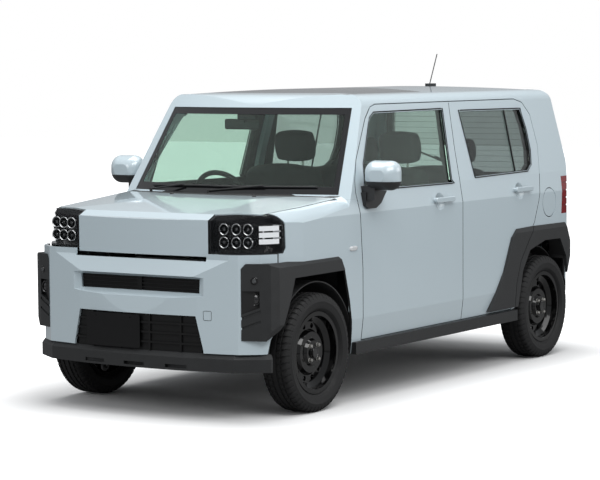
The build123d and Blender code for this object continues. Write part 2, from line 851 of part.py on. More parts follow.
barrel_rows = [868.0, 932.0]
barrel_columns = [side_y - 252.0, side_y - 190.0, side_y - 132.0]
barrel_radius, barrel_wall = 27.0, 4.0
bar_rows = [860.0, 892.0, 924.0]
bar_height = 24.0
bar_start_y, bar_end_y = side_y - 88.0, side_y - 32.0
lamp_rim = 10.0
with BuildPart() as lamp_cavity:
    add(lens_seat)
    add(lamp_floor, mode=Mode.SUBTRACT)
    cavity_line = grown(lamp_line, -lamp_rim)
    add(across(cavity_line, lamp_inner_y + lamp_rim, side_y - 14), mode=Mode.INTERSECT)
    add(upward(grown(bonnet_plan, shut_gap + lamp_rim), bonnet_low_z - 7, roof_z), mode=Mode.SUBTRACT)
with BuildPart() as lamp_bars:
    for row in bar_rows:
        add(block(front_x - 330, front_x, bar_start_y, bar_end_y, row, row + bar_height))
    add(lower_body(skin_wall, skin_wall, skin_wall, skin_wall), mode=Mode.INTERSECT)
    add(lower_body(lamp_depth, lamp_depth, lamp_depth, lamp_depth), mode=Mode.SUBTRACT)
with BuildPart() as barrels:
    for row in barrel_rows:
        for column in barrel_columns:
            face_x = nose_side_x - 22.0 - max(0.0, column - nose_side_y) * 0.25
            add(tube((face_x - 60, column, row), (face_x, column, row), barrel_radius))
            bore_ends = [(face_x - 26, column, row), (face_x + 1, column, row)]
            add(tube(*bore_ends, barrel_radius - barrel_wall), mode=Mode.SUBTRACT)
with BuildPart() as lamp_unit:
    add(lens_seat)
    add(lamp_core, mode=Mode.SUBTRACT)
    add(across(grown(lamp_line, -seat_gap), lamp_inner_y, side_reach), mode=Mode.INTERSECT)
    add(bonnet_room, mode=Mode.SUBTRACT)
    add(lamp_cavity.part, mode=Mode.SUBTRACT)
    add(lamp_bars.part)
    add(barrels.part)
save("lamp_units", both_sides(lamp_unit.part))

# Bonnet with two hinge leaves under its rear edge
with BuildPart() as leaf:
    add(block(front_axle_x - 205.5, front_axle_x - 177.5, 440, 470, 1028, 1044))
    add(upward(grown(cowl_plan, seat_gap), 1000, 1100), mode=Mode.SUBTRACT)
with BuildPart() as bonnet:
    add(between(outer, bonnet_core))
    add(upward(bonnet_plan, bonnet_low_z, roof_z), mode=Mode.INTERSECT)
    add(leaf.part)
    add(other_side(leaf.part))
save("bonnet", bonnet.part)

# Front fenders
with BuildPart() as fender:
    add(between(outer, skin_core))
    add(across(fender_line, side_y - 342, side_reach), mode=Mode.INTERSECT)
    add(across(front_arch, side_y - 422, side_reach), mode=Mode.SUBTRACT)
    add(bonnet_room, mode=Mode.SUBTRACT)
    add(across(grown(lamp_line, seat_gap), lamp_inner_y, side_reach), mode=Mode.SUBTRACT)
    add(block(door_front_x - 5, front_axle_x - 237.5, 0, side_y - 72, 990, 1100), mode=Mode.SUBTRACT)
save("fenders", both_sides(fender.part))

# Front bumper, with a pressed funnel round its grille slot and an open lower intake
bumper_notch_z = 776.0
slot_mouth_x, slot_floor_x = front_x - 7.5, front_x - 57.5


def slot_funnel(extra):
    """The funnel that leads into the grille slot, grown by a wall thickness."""
    with BuildPart() as funnel:
        for x, line in [(slot_mouth_x, slot_mouth_line), (slot_floor_x, slot_line)]:
            with BuildSketch(Plane.YZ.offset(x - extra)):
                with BuildLine():
                    Polyline(*(grown(line, extra) if extra else line), close=True)
                make_face()
        loft()
    return funnel.part


with BuildPart() as bumper_inside:
    add(bumper_hull(skin_wall, bumper_foot_z - 1, bumper_top_z))
    add(slot_funnel(skin_wall), mode=Mode.SUBTRACT)
with BuildPart() as bumper:
    add(bumper_hull(0, bumper_foot_z, bumper_top_z))
    add(bumper_inside.part, mode=Mode.SUBTRACT)
    add(slot_funnel(0), mode=Mode.SUBTRACT)
    add(along(slot_line, front_axle_x + 362.5, front_reach), mode=Mode.SUBTRACT)
    add(along(intake_line, front_axle_x + 362.5, front_reach), mode=Mode.SUBTRACT)
    bumper_start_x = bumper_end_x + seat_gap
    bumper_span = block(bumper_start_x, front_reach, -side_reach, side_reach, bumper_foot_z, bumper_top_z)
    add(bumper_span, mode=Mode.INTERSECT)
    notch_y = side_y - 320.0
    notch = block(bumper_end_x, front_reach, -notch_y, notch_y, bumper_notch_z, bumper_top_z + 20)
    add(notch, mode=Mode.SUBTRACT)
    add(across(front_arch, -side_reach, side_reach), mode=Mode.SUBTRACT)
save("front_bumper", bumper.part)

# Black grilles behind the slot and the intake, each a plate with louvres
louvre_wall = 5.0
slot_plate_x = slot_floor_x - skin_wall - seat_gap
with BuildPart() as slot_grille:
    add(block(slot_plate_x - 8, slot_plate_x, -(side_y - 348), side_y - 348, 607, 700))
    for row in [636, 654, 672]:
        louvre_rows = (row - louvre_wall / 2, row + louvre_wall / 2)
        add(block(slot_plate_x, slot_plate_x + 9, -(side_y - 364), side_y - 364, *louvre_rows))
    add(block(slot_plate_x, slot_plate_x + 10, -12, 12, 619 + shut_gap, 688 - shut_gap))
intake_skin = bumper_hull(skin_wall + seat_gap, bumper_foot_z + 1, bumper_top_z)
with BuildPart() as intake_band:
    add(intake_skin)
    add(bumper_hull(skin_wall + 8, bumper_foot_z, bumper_top_z), mode=Mode.SUBTRACT)
    outline = front_view([(side_y - 342, bumper_foot_z + 1), (side_y - 354, 523)])
    add(along(outline, front_axle_x + 362.5, front_reach), mode=Mode.INTERSECT)
with BuildPart() as intake_bars:
    for row in [372, 420, 468]:
        add(block(front_axle_x + 412.5, front_reach, -side_y, side_y, row - louvre_wall, row + louvre_wall))
    for column in [-270, -90, 90, 270]:
        bar_sides = (column - louvre_wall, column + louvre_wall)
        add(block(front_axle_x + 412.5, front_reach, *bar_sides, bumper_foot_z + 1, 511))
    add(along(grown(intake_line, -2), front_axle_x + 362.5, front_reach), mode=Mode.INTERSECT)
    add(bumper_hull(4, bumper_foot_z + 1, bumper_top_z), mode=Mode.INTERSECT)
    add(bumper_hull(skin_wall + 8, bumper_foot_z, bumper_top_z), mode=Mode.SUBTRACT)
lug_start_x = front_x - 45.0
lug_end_x = front_plate[0] - plate_wall - seat_gap
lug_half = 12.0
with BuildPart() as intake_grille:
    add(intake_band.part)
    add(intake_bars.part)
    for end in [-1, 1]:
        lug_y = front_plate[1] + end * screw_spacing / 2
        lug_z = front_plate[2] + screw_rise
        lug_rows = (lug_z - lug_half, lug_z + lug_half)
        add(block(lug_start_x, lug_end_x, lug_y - lug_half, lug_y + lug_half, *lug_rows))
        add(screw_hole(lug_end_x - screw_depth, front_plate[1], front_plate[2], end), mode=Mode.SUBTRACT)
save("grilles", Compound(slot_grille.part.solids() + intake_grille.part.solids()))

# Front lip under the bumper, bevelled along its top edge, with three slots
lip_foot_z = 243.0
lip_bevel_z, lip_bevel_depth = 307.0, 20.0
lip_wall = 45.0
lip_inner_x = bumper_end_x + 42.0


def lip_form(z0, z1, inset, top_inset):
    """The lip's plan form between two heights, inset by a distance at its foot and its top."""
    plan_points = from_x(
        front_x, [(0, 0), (-12.5, side_y - 422), (-57.5, side_y - 162), (-158.5, side_y - 13)]
    )
    with BuildPart() as form:
        for z, step in [(z0, inset), (z1, top_inset)]:
            points = [(x - step, y - step * 0.4 if y else 0) for x, y in plan_points]
            back = (bumper_end_x - 10, points[3][1])
            with BuildSketch(Plane.XY.offset(z)):
                with BuildLine():
                    ThreePointArc((points[1][0], -points[1][1]), points[0], points[1])
                    Polyline(points[1], points[2], points[3], back, (back[0], -back[1]))
                    Polyline(
                        (back[0], -back[1]),
                        (points[3][0], -points[3][1]),
                        (points[2][0], -points[2][1]),
                        (points[1][0], -points[1][1]),
                    )
                make_face()
        loft(ruled=True)
    return form.part


lip_slot_columns = [-250.0, 0.0, 250.0]
lip_slot_half = 62.0
lip_slot_rows = (254.0, 271.0)
with BuildPart() as lip:
    add(lip_form(lip_foot_z, lip_bevel_z, 0, 0))
    add(lip_form(lip_bevel_z, bumper_foot_z - seat_gap, 0, lip_bevel_depth))
    add(lip_form(lip_foot_z - 1, bumper_foot_z, lip_wall, lip_wall), mode=Mode.SUBTRACT)
    lip_span = block(lip_inner_x, front_reach, -side_y, side_y, lip_foot_z - 3, bumper_foot_z + 9)
    add(lip_span, mode=Mode.INTERSECT)
    for column in lip_slot_columns:
        slot_ends = (column - lip_slot_half, column + lip_slot_half)
        add(block(front_x - 24, front_reach, *slot_ends, *lip_slot_rows), mode=Mode.SUBTRACT)
save("front_lip", lip.part)

# Black cladding round the arches and along the sills
bumper_proud = bumper_hull(-seat_gap, bumper_foot_z, bumper_top_z)
front_clad_line = from_x(front_axle_x, [(-235.5, 691), (-189.5, 771)]) + [
    (front_x - 57.5, 771),
    (front_x - 57.5, 400),
] + from_x(
    front_axle_x, [(424.5, 397), (336.5, 446), (300.5, 515), (264.5, 585), (246.5, 632), (224.5, 689)]
)
front_clad_plan = [
    (front_axle_x - 247.5, clad_y - 137.5),
    (front_axle_x - 247.5, clad_y),
    (front_x - 197.5, clad_y),
    (front_x - 145.5, clad_y - 15.5),
    (front_x - 117.5, clad_y - 57.5),
    (front_x - 78.5, clad_y - 145.5),
    (front_x - 157.5, clad_y - 145.5),
    (front_x - 297.5, clad_y - 117.5),
]
clad_section = [
    (clad_y - 177.5, 395),
    (clad_y - 177.5, 746),
    (clad_y - 146.5, 746),
    (clad_y - 121.5, 775),
    (clad_y - 30.0, 775),
    (clad_y, 748),
    (clad_y, 470),
    (clad_y - 38.0, 395),
]
rear_clad_line = from_x(
    rear_axle_x,
    [
        (691.5, 330),
        (512.5, 541),
        (415.5, 728),
        (354.5, 775),
        (155.5, 779),
        (-258.5, 776),
        (-312.5, 665),
        (-312.5, 576),
        (-273.5, 477),
        (-259.5, 574),
        (-179.5, 686),
        (15.5, 688),
        (205.5, 644),
        (292.5, 535),
        (353.5, 330),
    ],
)
rear_clad_section = [
    (side_y - 82, 300),
    (side_y - 82, 790),
    (clad_y - 14, 790),
    (clad_y, 752),
    (clad_y, 300),
]
sill_line = [
    (front_axle_x - 341.5, 251),
    (front_axle_x - 341.5, 312),
    (rear_axle_x + 354.5, 312),
    (rear_axle_x + 354.5, 251),
]

# The fog lamp sits in a square pocket of the front cladding, over two slanting grooves
fog_y, fog_z, fog_radius = clad_y - 93.5, 600.0, 29.0
fog_face_x = front_x - 121.5
fog_pocket_line = [
    (clad_y - 142, 640),
    (clad_y - 62, 640),
    (clad_y - 62, 560),
    (clad_y - 142, 528),
]
clad_groove_depth = 5.0
clad_groove_lines = [
    [(clad_y - 150, 512), (clad_y - 30, 560), (clad_y - 30, 546), (clad_y - 150, 498)],
    [(clad_y - 150, 462), (clad_y - 30, 510), (clad_y - 30, 498), (clad_y - 150, 450)],
]
groove_plan = [
    (front_x - 78.5 - clad_groove_depth, clad_y - 145.5),
    (front_x - 78.5 + 30, clad_y - 145.5),
    (front_x - 117.5 + 30, clad_y - 57.5),
    (front_x - 117.5 - clad_groove_depth, clad_y - 57.5),
]
with BuildPart() as clad_grooves:
    for line in clad_groove_lines:
        add(along(line, front_x - 200, front_reach))
    add(upward(groove_plan, 400, 620), mode=Mode.INTERSECT)
with BuildPart() as front_clad:
    add(across(front_clad_line, clad_y - 177.5, clad_y))
    add(upward(front_clad_plan, 300, 800), mode=Mode.INTERSECT)
    add(along(clad_section, front_axle_x - 260, front_reach), mode=Mode.INTERSECT)
    add(along(fog_pocket_line, fog_face_x - 22, front_reach), mode=Mode.SUBTRACT)
    add(clad_grooves.part, mode=Mode.SUBTRACT)
    add(tube((fog_face_x - 30, fog_y, fog_z), (fog_face_x, fog_y, fog_z), fog_radius))
    fog_bore = tube((fog_face_x - 10, fog_y, fog_z), (fog_face_x + 1, fog_y, fog_z), fog_radius - 5)
    add(fog_bore, mode=Mode.SUBTRACT)
    add(proud, mode=Mode.SUBTRACT)
    add(bumper_proud, mode=Mode.SUBTRACT)
with BuildPart() as rear_clad_full:
    add(across(rear_clad_line, side_y - 82, clad_y))
    add(along(rear_clad_section, rear_reach, rear_axle_x + 700), mode=Mode.INTERSECT)
    add(proud, mode=Mode.SUBTRACT)
with BuildPart() as door_clad:
    add(rear_clad_full.part)
    add(across(rear_door_line, side_y - 122, side_reach), mode=Mode.INTERSECT)
with BuildPart() as rear_clad:
    add(rear_clad_full.part)
    add(across(grown(rear_door_line, shut_gap), side_y - 122, side_reach), mode=Mode.SUBTRACT)
with BuildPart() as sill_clad:
    add(across(sill_line, side_y - 82, clad_y - 4.5))
    add(proud, mode=Mode.SUBTRACT)
left_cladding = front_clad.part.solids() + rear_clad.part.solids() + sill_clad.part.solids()
save("cladding", Compound(left_cladding + [other_side(solid) for solid in left_cladding]))
save("door_cladding_left", door_clad.part)
save("door_cladding_right", other_side(door_clad.part))

# Rear bumper
rear_bumper_front_x = rear_x + 107.2
rear_bumper_side = [
    (rear_bumper_front_x, bumper_line_z - seat_gap),
    (rear_bumper_front_x, 445),
    (rear_x + 57.5, 350),
    (rear_reach, 318),
    (rear_reach, bumper_line_z - 2.3),
    (rear_x + 87.5, bumper_line_z - seat_gap),
]


def rear_hull(inset, z0, z1):
    """The rear bumper's solid form, inset by a wall thickness."""
    rear_plan = [(rear_x, 0), (rear_x + 13.5, side_y - 162), (tail_corner_x, side_y)]
    points = [(x + inset, y - inset if y else 0) for x, y in rear_plan]
    bend = (rear_x + 35.5 + inset, side_y - 40 - inset)
    back = (rear_x + 297.5, points[2][1])
    with BuildPart() as hull:
        with BuildSketch(Plane.XY.offset(z0)):
            with BuildLine():
                ThreePointArc((points[1][0], -points[1][1]), points[0], points[1])
                ThreePointArc(points[1], bend, points[2])
                Polyline(points[2], back, (back[0], -back[1]), (points[2][0], -points[2][1]))
                ThreePointArc(
                    (points[2][0], -points[2][1]),
                    (bend[0], -bend[1]),
                    (points[1][0], -points[1][1]),
                )
            make_face()
        extrude(amount=z1 - z0)
    return hull.part


with BuildPart() as rear_bumper:
    add(rear_hull(0, 300, bumper_line_z - seat_gap))
    add(rear_hull(skin_wall, 299, bumper_line_z - skin_wall), mode=Mode.SUBTRACT)
    add(across(rear_bumper_side, -side_reach, side_reach), mode=Mode.INTERSECT)
    add(rear_clad.part, mode=Mode.SUBTRACT)
    add(other_side(rear_clad.part), mode=Mode.SUBTRACT)
save("rear_bumper", rear_bumper.part)

# Cowl between the bonnet and the windscreen
cowl_top_z = 1061.7
with BuildPart() as cowl_half:
    add(between(outer, skin_core))
    add(upward(cowl_plan, 1000, cowl_top_z), mode=Mode.INTERSECT)
with BuildPart() as cowl:
    add(cowl_half.part)
    add(other_side(cowl_half.part))
save("cowl", cowl.part)

# Door mirrors: a domed head over a black foot on the door's corner
mirror_rear_x = door_front_x - 70.0
mirror_y, mirror_z = side_y + 92.0, 1158.0
mirror_sections = [
    # distance ahead of the mirror's rear face, width, height, corner radius
    (0, 190, 146, 52),
    (34, 192, 148, 54),
    (68, 160, 116, 46),
    (92, 92, 56, 26),
]
glass_recess = 3.0
foot_line = from_x(
    door_front_x,
    [(-4, 1070), (-10, 1003), (-40, 986), (-110, 986), (-160, 1010), (-215, 1070), (-150, 1076), (-70, 1076)],
)
neck_plan = [
    (door_front_x - 15, belt_y - 16),
    (door_front_x - 100, belt_y - 16),
    (door_front_x - 66, side_y + 62),
    (door_front_x - 12, side_y + 62),
]
with BuildPart() as mirror_head:
    for ahead, width, height, corner in mirror_sections:
        with BuildSketch(Plane.YZ.offset(mirror_rear_x + ahead)):
            with Locations((mirror_y, mirror_z)):
                RectangleRounded(width, height, corner)
    loft()
    with BuildSketch(Plane.YZ.offset(mirror_rear_x)):
        with Locations((mirror_y, mirror_z)):
            RectangleRounded(172, 128, 44)
    extrude(amount=glass_recess, mode=Mode.SUBTRACT)
with BuildPart() as mirror_foot:
    add(across(foot_line, belt_y - 20, side_y + 14))
    add(upward(neck_plan, 1030, 1102))
    add(proud, mode=Mode.SUBTRACT)
with BuildPart() as door_mirror:
    add(mirror_head.part)
    add(mirror_foot.part)
save("mirror_left", door_mirror.part)
save("mirror_right", other_side(door_mirror.part))

# Tow eyes under the front and rear cross members
eye_radius, eye_hole, eye_wall = 26.0, 13.0, 12.0
front_eye = (front_x - 97.5, -254.0, 222.0)
rear_eye = (rear_x + 77.5, 200.0, 285.0)
rear_bar_z = 330.0


def tow_eye(x, y, z, bar_x, top_z):
    """A flat steel eye that hangs from the cross member above it."""
    strap = [
        (bar_x - 13, top_z),
        (bar_x + 13, top_z),
        (x + 18, z + 14),
        (x + 18, z),
        (x - 18, z),
        (x - 18, z + 14),
    ]
    with BuildPart() as eye:
        with BuildSketch(Plane.XZ.offset(-(y + eye_wall / 2))):
            with BuildLine():
                Polyline(*strap, close=True)
            make_face()
            with Locations((x, z)):
                Circle(eye_radius)
                Circle(eye_hole, mode=Mode.SUBTRACT)
        extrude(amount=eye_wall)
    return eye.part


front_hook = tow_eye(*front_eye, front_x - 137.5, crossbar_z - seat_gap)
rear_hook = tow_eye(*rear_eye, rear_eye[0], rear_bar_z - seat_gap)
save("tow_hooks", Compound(front_hook.solids() + rear_hook.solids()))

# Wipers: a pivot on the cowl, an arm and a blade that follows the bowed glass
screen_slope = Vector(screen_head_x - screen_foot_x, 0, screen_head_z - screen_foot_z).normalized()
screen_inward = Vector(-screen_slope.Z, 0, screen_slope.X)
blade_radius, arm_radius, pivot_radius = 4.5, 5.0, 8.0
blade_lift, arm_lift = 5.0, 15.0
wiper_table = [
    # pivot's place along and across the car, then the blade's rows of (place across, height up the glass)
    (front_axle_x - 239.5, -478.0, [(-505.0, 66.0), (-280.0, 50.0), (-48.0, 44.0)]),
    (front_axle_x - 232.5, -100.0, [(-70.0, 42.0), (230.0, 52.0), (523.0, 84.0)]),
]


def on_screen(y, rise, lift):
    """A point over the bowed windscreen, at a height up its slope and a lift off its skin."""
    bow = screen_bow_radius - math.sqrt(screen_bow_radius**2 - y**2)
    point = Vector(screen_foot_x, y, screen_foot_z) + screen_slope * rise
    return point + screen_inward * (bow - lift)


wiper_parts = []
for pivot_x, pivot_y, rows in wiper_table:
    ends = [on_screen(y, rise, blade_lift) for y, rise in rows]
    grip = on_screen(*rows[1], arm_lift)
    pivot_top = Vector(pivot_x, pivot_y, cowl_z + 19.0)
    with BuildPart() as wiper:
        with BuildLine() as blade_line:
            ThreePointArc(*ends)
        with BuildSketch(Plane(origin=blade_line.line @ 0, z_dir=blade_line.line % 0)):
            Circle(blade_radius)
        sweep()
        add(tube(tuple(pivot_top - Vector(0, 0, 40)), tuple(pivot_top), pivot_radius))
        add(tube(tuple(pivot_top - Vector(0, 0, arm_radius)), tuple(grip), arm_radius))
        add(tube(tuple(grip), tuple(on_screen(*rows[1], blade_lift)), arm_radius))
        add(proud, mode=Mode.SUBTRACT)
    wiper_parts.append(wiper.part.solids().sort_by(SortBy.VOLUME)[-1])
save("wipers", Compound(wiper_parts))

# Underbody: floor, firewall, rails, sills' inner walls and wheel houses
bay_end_x = front_x - 122.5
rail_half = 30.0
floor_half = side_y - 22.0
rear_floor_x = rear_axle_x + 522.5
rear_pivot_x = rear_axle_x + 442.5
pivot_room = (470.0, 540.0)
bar_half_length = side_y - 162.0
with BuildPart() as floor_half_parts:
    add(block(rear_floor_x, firewall_x + 16, -floor_half, floor_half, floor_z, floor_top_z))
    add(block(firewall_x, firewall_x + 16, -floor_half, floor_half, floor_z, 1000))
    add(block(rear_floor_x - 16, rear_floor_x, -floor_half, floor_half, floor_z, load_floor_z + floor_wall))
    add(block(rear_x + 57.5, rear_floor_x, -floor_half, floor_half, load_floor_z, load_floor_z + floor_wall))
    for low, high in [pivot_room, (-pivot_room[1], -pivot_room[0])]:
        add(block(rear_pivot_x - 20, rear_pivot_x + 20, low, high, 346, load_floor_z))
    bar_rows_z = (rear_bar_z, load_floor_z + floor_wall)
    add(block(rear_x + 57.5, rear_x + 97.5, -bar_half_length, bar_half_length, *bar_rows_z))
    add(cabin_seat, mode=Mode.INTERSECT)
with BuildPart() as rails:
    for middle in [-bay_rail_y, bay_rail_y]:
        add(block(firewall_x, bay_end_x, middle - rail_half, middle + rail_half, floor_z, 350))
        upright = sorted([middle * 360 / bay_rail_y, middle * 400 / bay_rail_y])
        add(block(bay_end_x - 35, bay_end_x, *upright, 350, 710))
    add(block(bay_end_x - 30, bay_end_x, -500, 500, crossbar_z, 400))
    add(block(bay_end_x - 35, bay_end_x, -bar_half_length, bar_half_length, 700, 760))

# The room each wheel needs, and the thin wall of the wheel house round it
front_room_y = wheel_centre_y - 262.0
rear_room_y = wheel_centre_y - 105.0
house_y = side_y - 20.0
tower_y = wheel_centre_y - 150.0
tower_radius, tower_wall, tower_top_z = 76.0, 6.0, 790.0
front_room = axle_drum(front_axle_x, well_radius, front_room_y, side_reach)
rear_room = axle_drum(rear_axle_x, well_radius, rear_room_y, side_reach)
with BuildPart() as tower_inside:
    tower_ends = [(front_axle_x, tower_y, 500), (front_axle_x, tower_y, tower_top_z - tower_wall)]
    add(tube(*tower_ends, tower_radius - tower_wall))
    top_hole = (front_axle_x, king_y(tower_top_z - 3.0))
    add(tube((*top_hole, 500), (*top_hole, 800), 14))
with BuildPart() as front_house:
    add(axle_drum(front_axle_x, well_radius + well_wall, front_room_y - well_wall, house_y))
    add(block(front_axle_x - 437.5, front_axle_x + 362.5, 300, side_reach, 300, 800), mode=Mode.INTERSECT)
    add(tube((front_axle_x, tower_y, 600), (front_axle_x, tower_y, tower_top_z), tower_radius))
    add(front_room, mode=Mode.SUBTRACT)
    add(tower_inside.part, mode=Mode.SUBTRACT)
    add(skin_seat, mode=Mode.INTERSECT)
with BuildPart() as rear_house:
    add(axle_drum(rear_axle_x, well_radius + well_wall, rear_room_y - well_wall, house_y))
    add(rear_room, mode=Mode.SUBTRACT)
    ends = (rear_x + 57.5, rear_axle_x + 422.5)
    add(block(*ends, 300, side_reach, load_floor_z - 3, 800), mode=Mode.INTERSECT)
    add(cabin_seat, mode=Mode.INTERSECT)
with BuildPart() as underbody:
    add(floor_half_parts.part)
    add(rails.part)
    for room in [front_room, rear_room]:
        add(room, mode=Mode.SUBTRACT)
        add(other_side(room), mode=Mode.SUBTRACT)
    for house in [front_house, rear_house]:
        add(house.part)
        add(other_side(house.part))
save("underbody", underbody.part)

# Wheels: a steel wheel with its stub shaft and brake disc, and a tyre round it
inner_y = wheel_centre_y - rim_width / 2
outer_y = wheel_centre_y + rim_width / 2
hub_face_y = wheel_centre_y + 45.0
hole_count, hole_radius, hole_ring = 12, 13.0, 133.0


def wheel_at(axle_x, shaft_end_y):
    """The left wheel on an axle: rim and tyre."""
    rim_profile = [
        # distance from the axle line, place across the car
        (stub_radius, shaft_end_y),
        (stub_radius, wheel_centre_y - 16),
        (disc_radius, wheel_centre_y - 16),
        (disc_radius, wheel_centre_y - 4),
        (62, wheel_centre_y - 4),
        (62, wheel_centre_y + 18),
        (96, wheel_centre_y + 18),
        (110, wheel_centre_y),
        (150, wheel_centre_y),
        (162, wheel_centre_y - 10),
        (162, wheel_centre_y - 38),
        (184, inner_y),
        (flange_radius, inner_y),
        (flange_radius, inner_y + 5),
        (rim_radius, inner_y + 8),
        (rim_radius - 4, inner_y + 30),
        (168, inner_y + 38),
        (168, outer_y - 46),
        (rim_radius - 4, outer_y - 30),
        (rim_radius, outer_y - 8),
        (flange_radius, outer_y - 5),
        (flange_radius, outer_y),
        (184, outer_y),
        (178, outer_y - 34),
        (160, outer_y - 46),
        (152, wheel_centre_y + 12),
        (116, wheel_centre_y + 12),
        (102, wheel_centre_y + 32),
        (70, wheel_centre_y + 32),
        (60, hub_face_y),
        (30, hub_face_y),
        (28, hub_face_y + 12),
        (0, hub_face_y + 12),
        (0, shaft_end_y),
    ]
    tyre_half = tyre_width / 2
    tread_half = tread_width / 2
    tyre_profile = [
        # distance from the axle line, place across the car
        (bead_radius, inner_y + 9),
        (207, inner_y + 6),
        (214, inner_y - 1),
        (232, wheel_centre_y - tyre_half + 3),
        (252, wheel_centre_y - tyre_half),
        (277, wheel_centre_y - tyre_half + 6),
        (291, wheel_centre_y - tread_half),
        (tyre_radius, wheel_centre_y - tread_half + 16),
        (tyre_radius, wheel_centre_y + tread_half - 16),
        (291, wheel_centre_y + tread_half),
        (277, wheel_centre_y + tyre_half - 6),
        (252, wheel_centre_y + tyre_half),
        (232, wheel_centre_y + tyre_half - 3),
        (214, outer_y + 1),
        (207, outer_y - 6),
        (bead_radius, outer_y - 9),
        (bead_radius, outer_y - 24),
        (bead_radius + 12, outer_y - 20),
        (238, wheel_centre_y + tyre_half - 12),
        (270, wheel_centre_y + tyre_half - 16),
        (284, wheel_centre_y + 40),
        (284, wheel_centre_y - 40),
        (270, wheel_centre_y - tyre_half + 16),
        (238, wheel_centre_y - tyre_half + 12),
        (bead_radius + 12, inner_y + 20),
        (bead_radius, inner_y + 24),
    ]
    line = Axis((axle_x, 0, axle_z), (0, 1, 0))
    section_plane = Plane(origin=(axle_x, 0, axle_z), x_dir=(1, 0, 0), z_dir=(0, 0, 1))
    with BuildPart() as rim:
        with BuildSketch(section_plane):
            with BuildLine():
                Polyline(*rim_profile, close=True)
            make_face()
        revolve(axis=line)
        with BuildSketch(Plane(origin=(axle_x, outer_y + 46, axle_z), x_dir=(1, 0, 0), z_dir=(0, -1, 0))):
            with PolarLocations(hole_ring, hole_count, start_angle=180 / hole_count):
                Circle(hole_radius)
        extrude(amount=118, mode=Mode.SUBTRACT)
    with BuildPart() as tyre:
        with BuildSketch(section_plane):
            with BuildLine():
                Polyline(*tyre_profile, close=True)
            make_face()
        revolve(axis=line)
    return rim.part, tyre.part


wheel_table = [
    # end of the car, axle's place, inner end of the stub shaft
    ("front", front_axle_x, wheel_centre_y - 94.0),
    ("rear", rear_axle_x, wheel_centre_y - 166.0),
]
for end, axle_x, shaft_end_y in wheel_table:
    rim, tyre = wheel_at(axle_x, shaft_end_y)
    save(f"rim_{end}_left", rim)
    save(f"rim_{end}_right", other_side(rim))
    save(f"tyre_{end}_left", tyre)
    save(f"tyre_{end}_right", other_side(tyre))

# Front knuckles, each with its strut on the steering axis and a ball at its foot
ball_radius = 14.0
strut_top_z = 796.0
ball_point = (front_axle_x, king_foot_y, king_foot_z)


def king_point(z):
    """A point on the left steering axis."""
    return (front_axle_x, king_y(z), z)


strut_table = [
    # lower height, upper height, radius
    (king_foot_z, 275.0, 9.0),
    (230.0, 290.0, 16.0),
    (300.0, 700.0, 24.0),
    (640.0, 752.0, 42.0),
    (740.0, strut_top_z, 8.0),
]
hub_ends = (wheel_centre_y - 88.0, wheel_centre_y - 32.0)
bore_ends = (wheel_centre_y - 150.0, wheel_centre_y + 50.0)
with BuildPart() as knuckle:
    add(ball(ball_point, ball_radius))
    for low, high, radius in strut_table:
        add(tube(king_point(low), king_point(high), radius))
    add(tube((front_axle_x, hub_ends[0], axle_z), (front_axle_x, hub_ends[1], axle_z), 42))
    bore_line = [(front_axle_x, end, axle_z) for end in bore_ends]
    bore = tube(*bore_line, stub_radius + run_gap)
    add(bore, mode=Mode.SUBTRACT)
save("knuckle_left", knuckle.part)
save("knuckle_right", other_side(knuckle.part))

# Front subframe with the lower arms
arm_plan = [
    (front_axle_x - 107.5, 330),
    (front_axle_x - 29.5, king_foot_y - 40),
    (front_axle_x - 20.5, king_foot_y),
    (front_axle_x + 20.5, king_foot_y),
    (front_axle_x + 29.5, king_foot_y - 40),
    (front_axle_x + 107.5, 330),
]
with BuildPart() as arm:
    add(upward(arm_plan, 196, 222.5))
    add(tube((front_axle_x, king_foot_y, 186), (front_axle_x, king_foot_y, 214), 22))
    add(ball(ball_point, ball_radius + seat_gap), mode=Mode.SUBTRACT)
    add(tube(king_point(king_foot_z), king_point(260), 16), mode=Mode.SUBTRACT)
frame_half = bay_rail_y + rail_half
with BuildPart() as subframe:
    add(block(front_axle_x - 137.5, front_axle_x + 142.5, -frame_half, frame_half, 222, floor_z - seat_gap))
    for start in [front_axle_x - 57.5, front_axle_x + 102.5]:
        add(block(start, start + 40, -150, 150, 260, 320 - seat_gap))
    add(arm.part)
    add(other_side(arm.part))
save("subframe", subframe.part)

# Engine with its gearbox, as one plain block
engine_rear_x = front_axle_x - 157.5
with BuildPart() as engine:
    add(block(engine_rear_x, front_axle_x + 262.5, -200, 220, 320, 760))
    add(block(front_axle_x - 117.5, front_axle_x + 162.5, -312, -200, 330, 600))
save("engine", engine.part)

# Rear axle: torsion beam, trailing arms and springs
beam_x = rear_axle_x + 192.5
beam_end_y = wheel_centre_y - 145.0
with BuildPart() as rear_axle:
    add(tube((beam_x, -beam_end_y, 300), (beam_x, beam_end_y, 300), 34))
    for side in [1, -1]:
        arm_y = sorted([side * (beam_end_y - 15), side * (beam_end_y + 25)])
        pan_y = sorted([side * 380, side * (beam_end_y - 5)])
        spring = (rear_axle_x + 72.5, side * 440)
        hub_y = sorted([side * (wheel_centre_y - 162), side * (wheel_centre_y - 84)])
        add(block(rear_axle_x - 42.5, rear_axle_x + 452.5, *arm_y, 272, 330))
        add(block(rear_pivot_x - 15, rear_pivot_x + 15, *arm_y, 300, 346 - seat_gap))
        add(block(rear_axle_x + 12.5, rear_axle_x + 132.5, *pan_y, 285, 315))
        add(tube((*spring, 300), (*spring, load_floor_z - seat_gap), 44))
        add(tube((rear_axle_x, hub_y[0], axle_z), (rear_axle_x, hub_y[1], axle_z), 40))
    for side in [1, -1]:
        bore_y = sorted([side * (wheel_centre_y - 180), side * (wheel_centre_y - 50)])
        bore = tube((rear_axle_x, bore_y[0], axle_z), (rear_axle_x, bore_y[1], axle_z), stub_radius + run_gap)
        add(bore, mode=Mode.SUBTRACT)
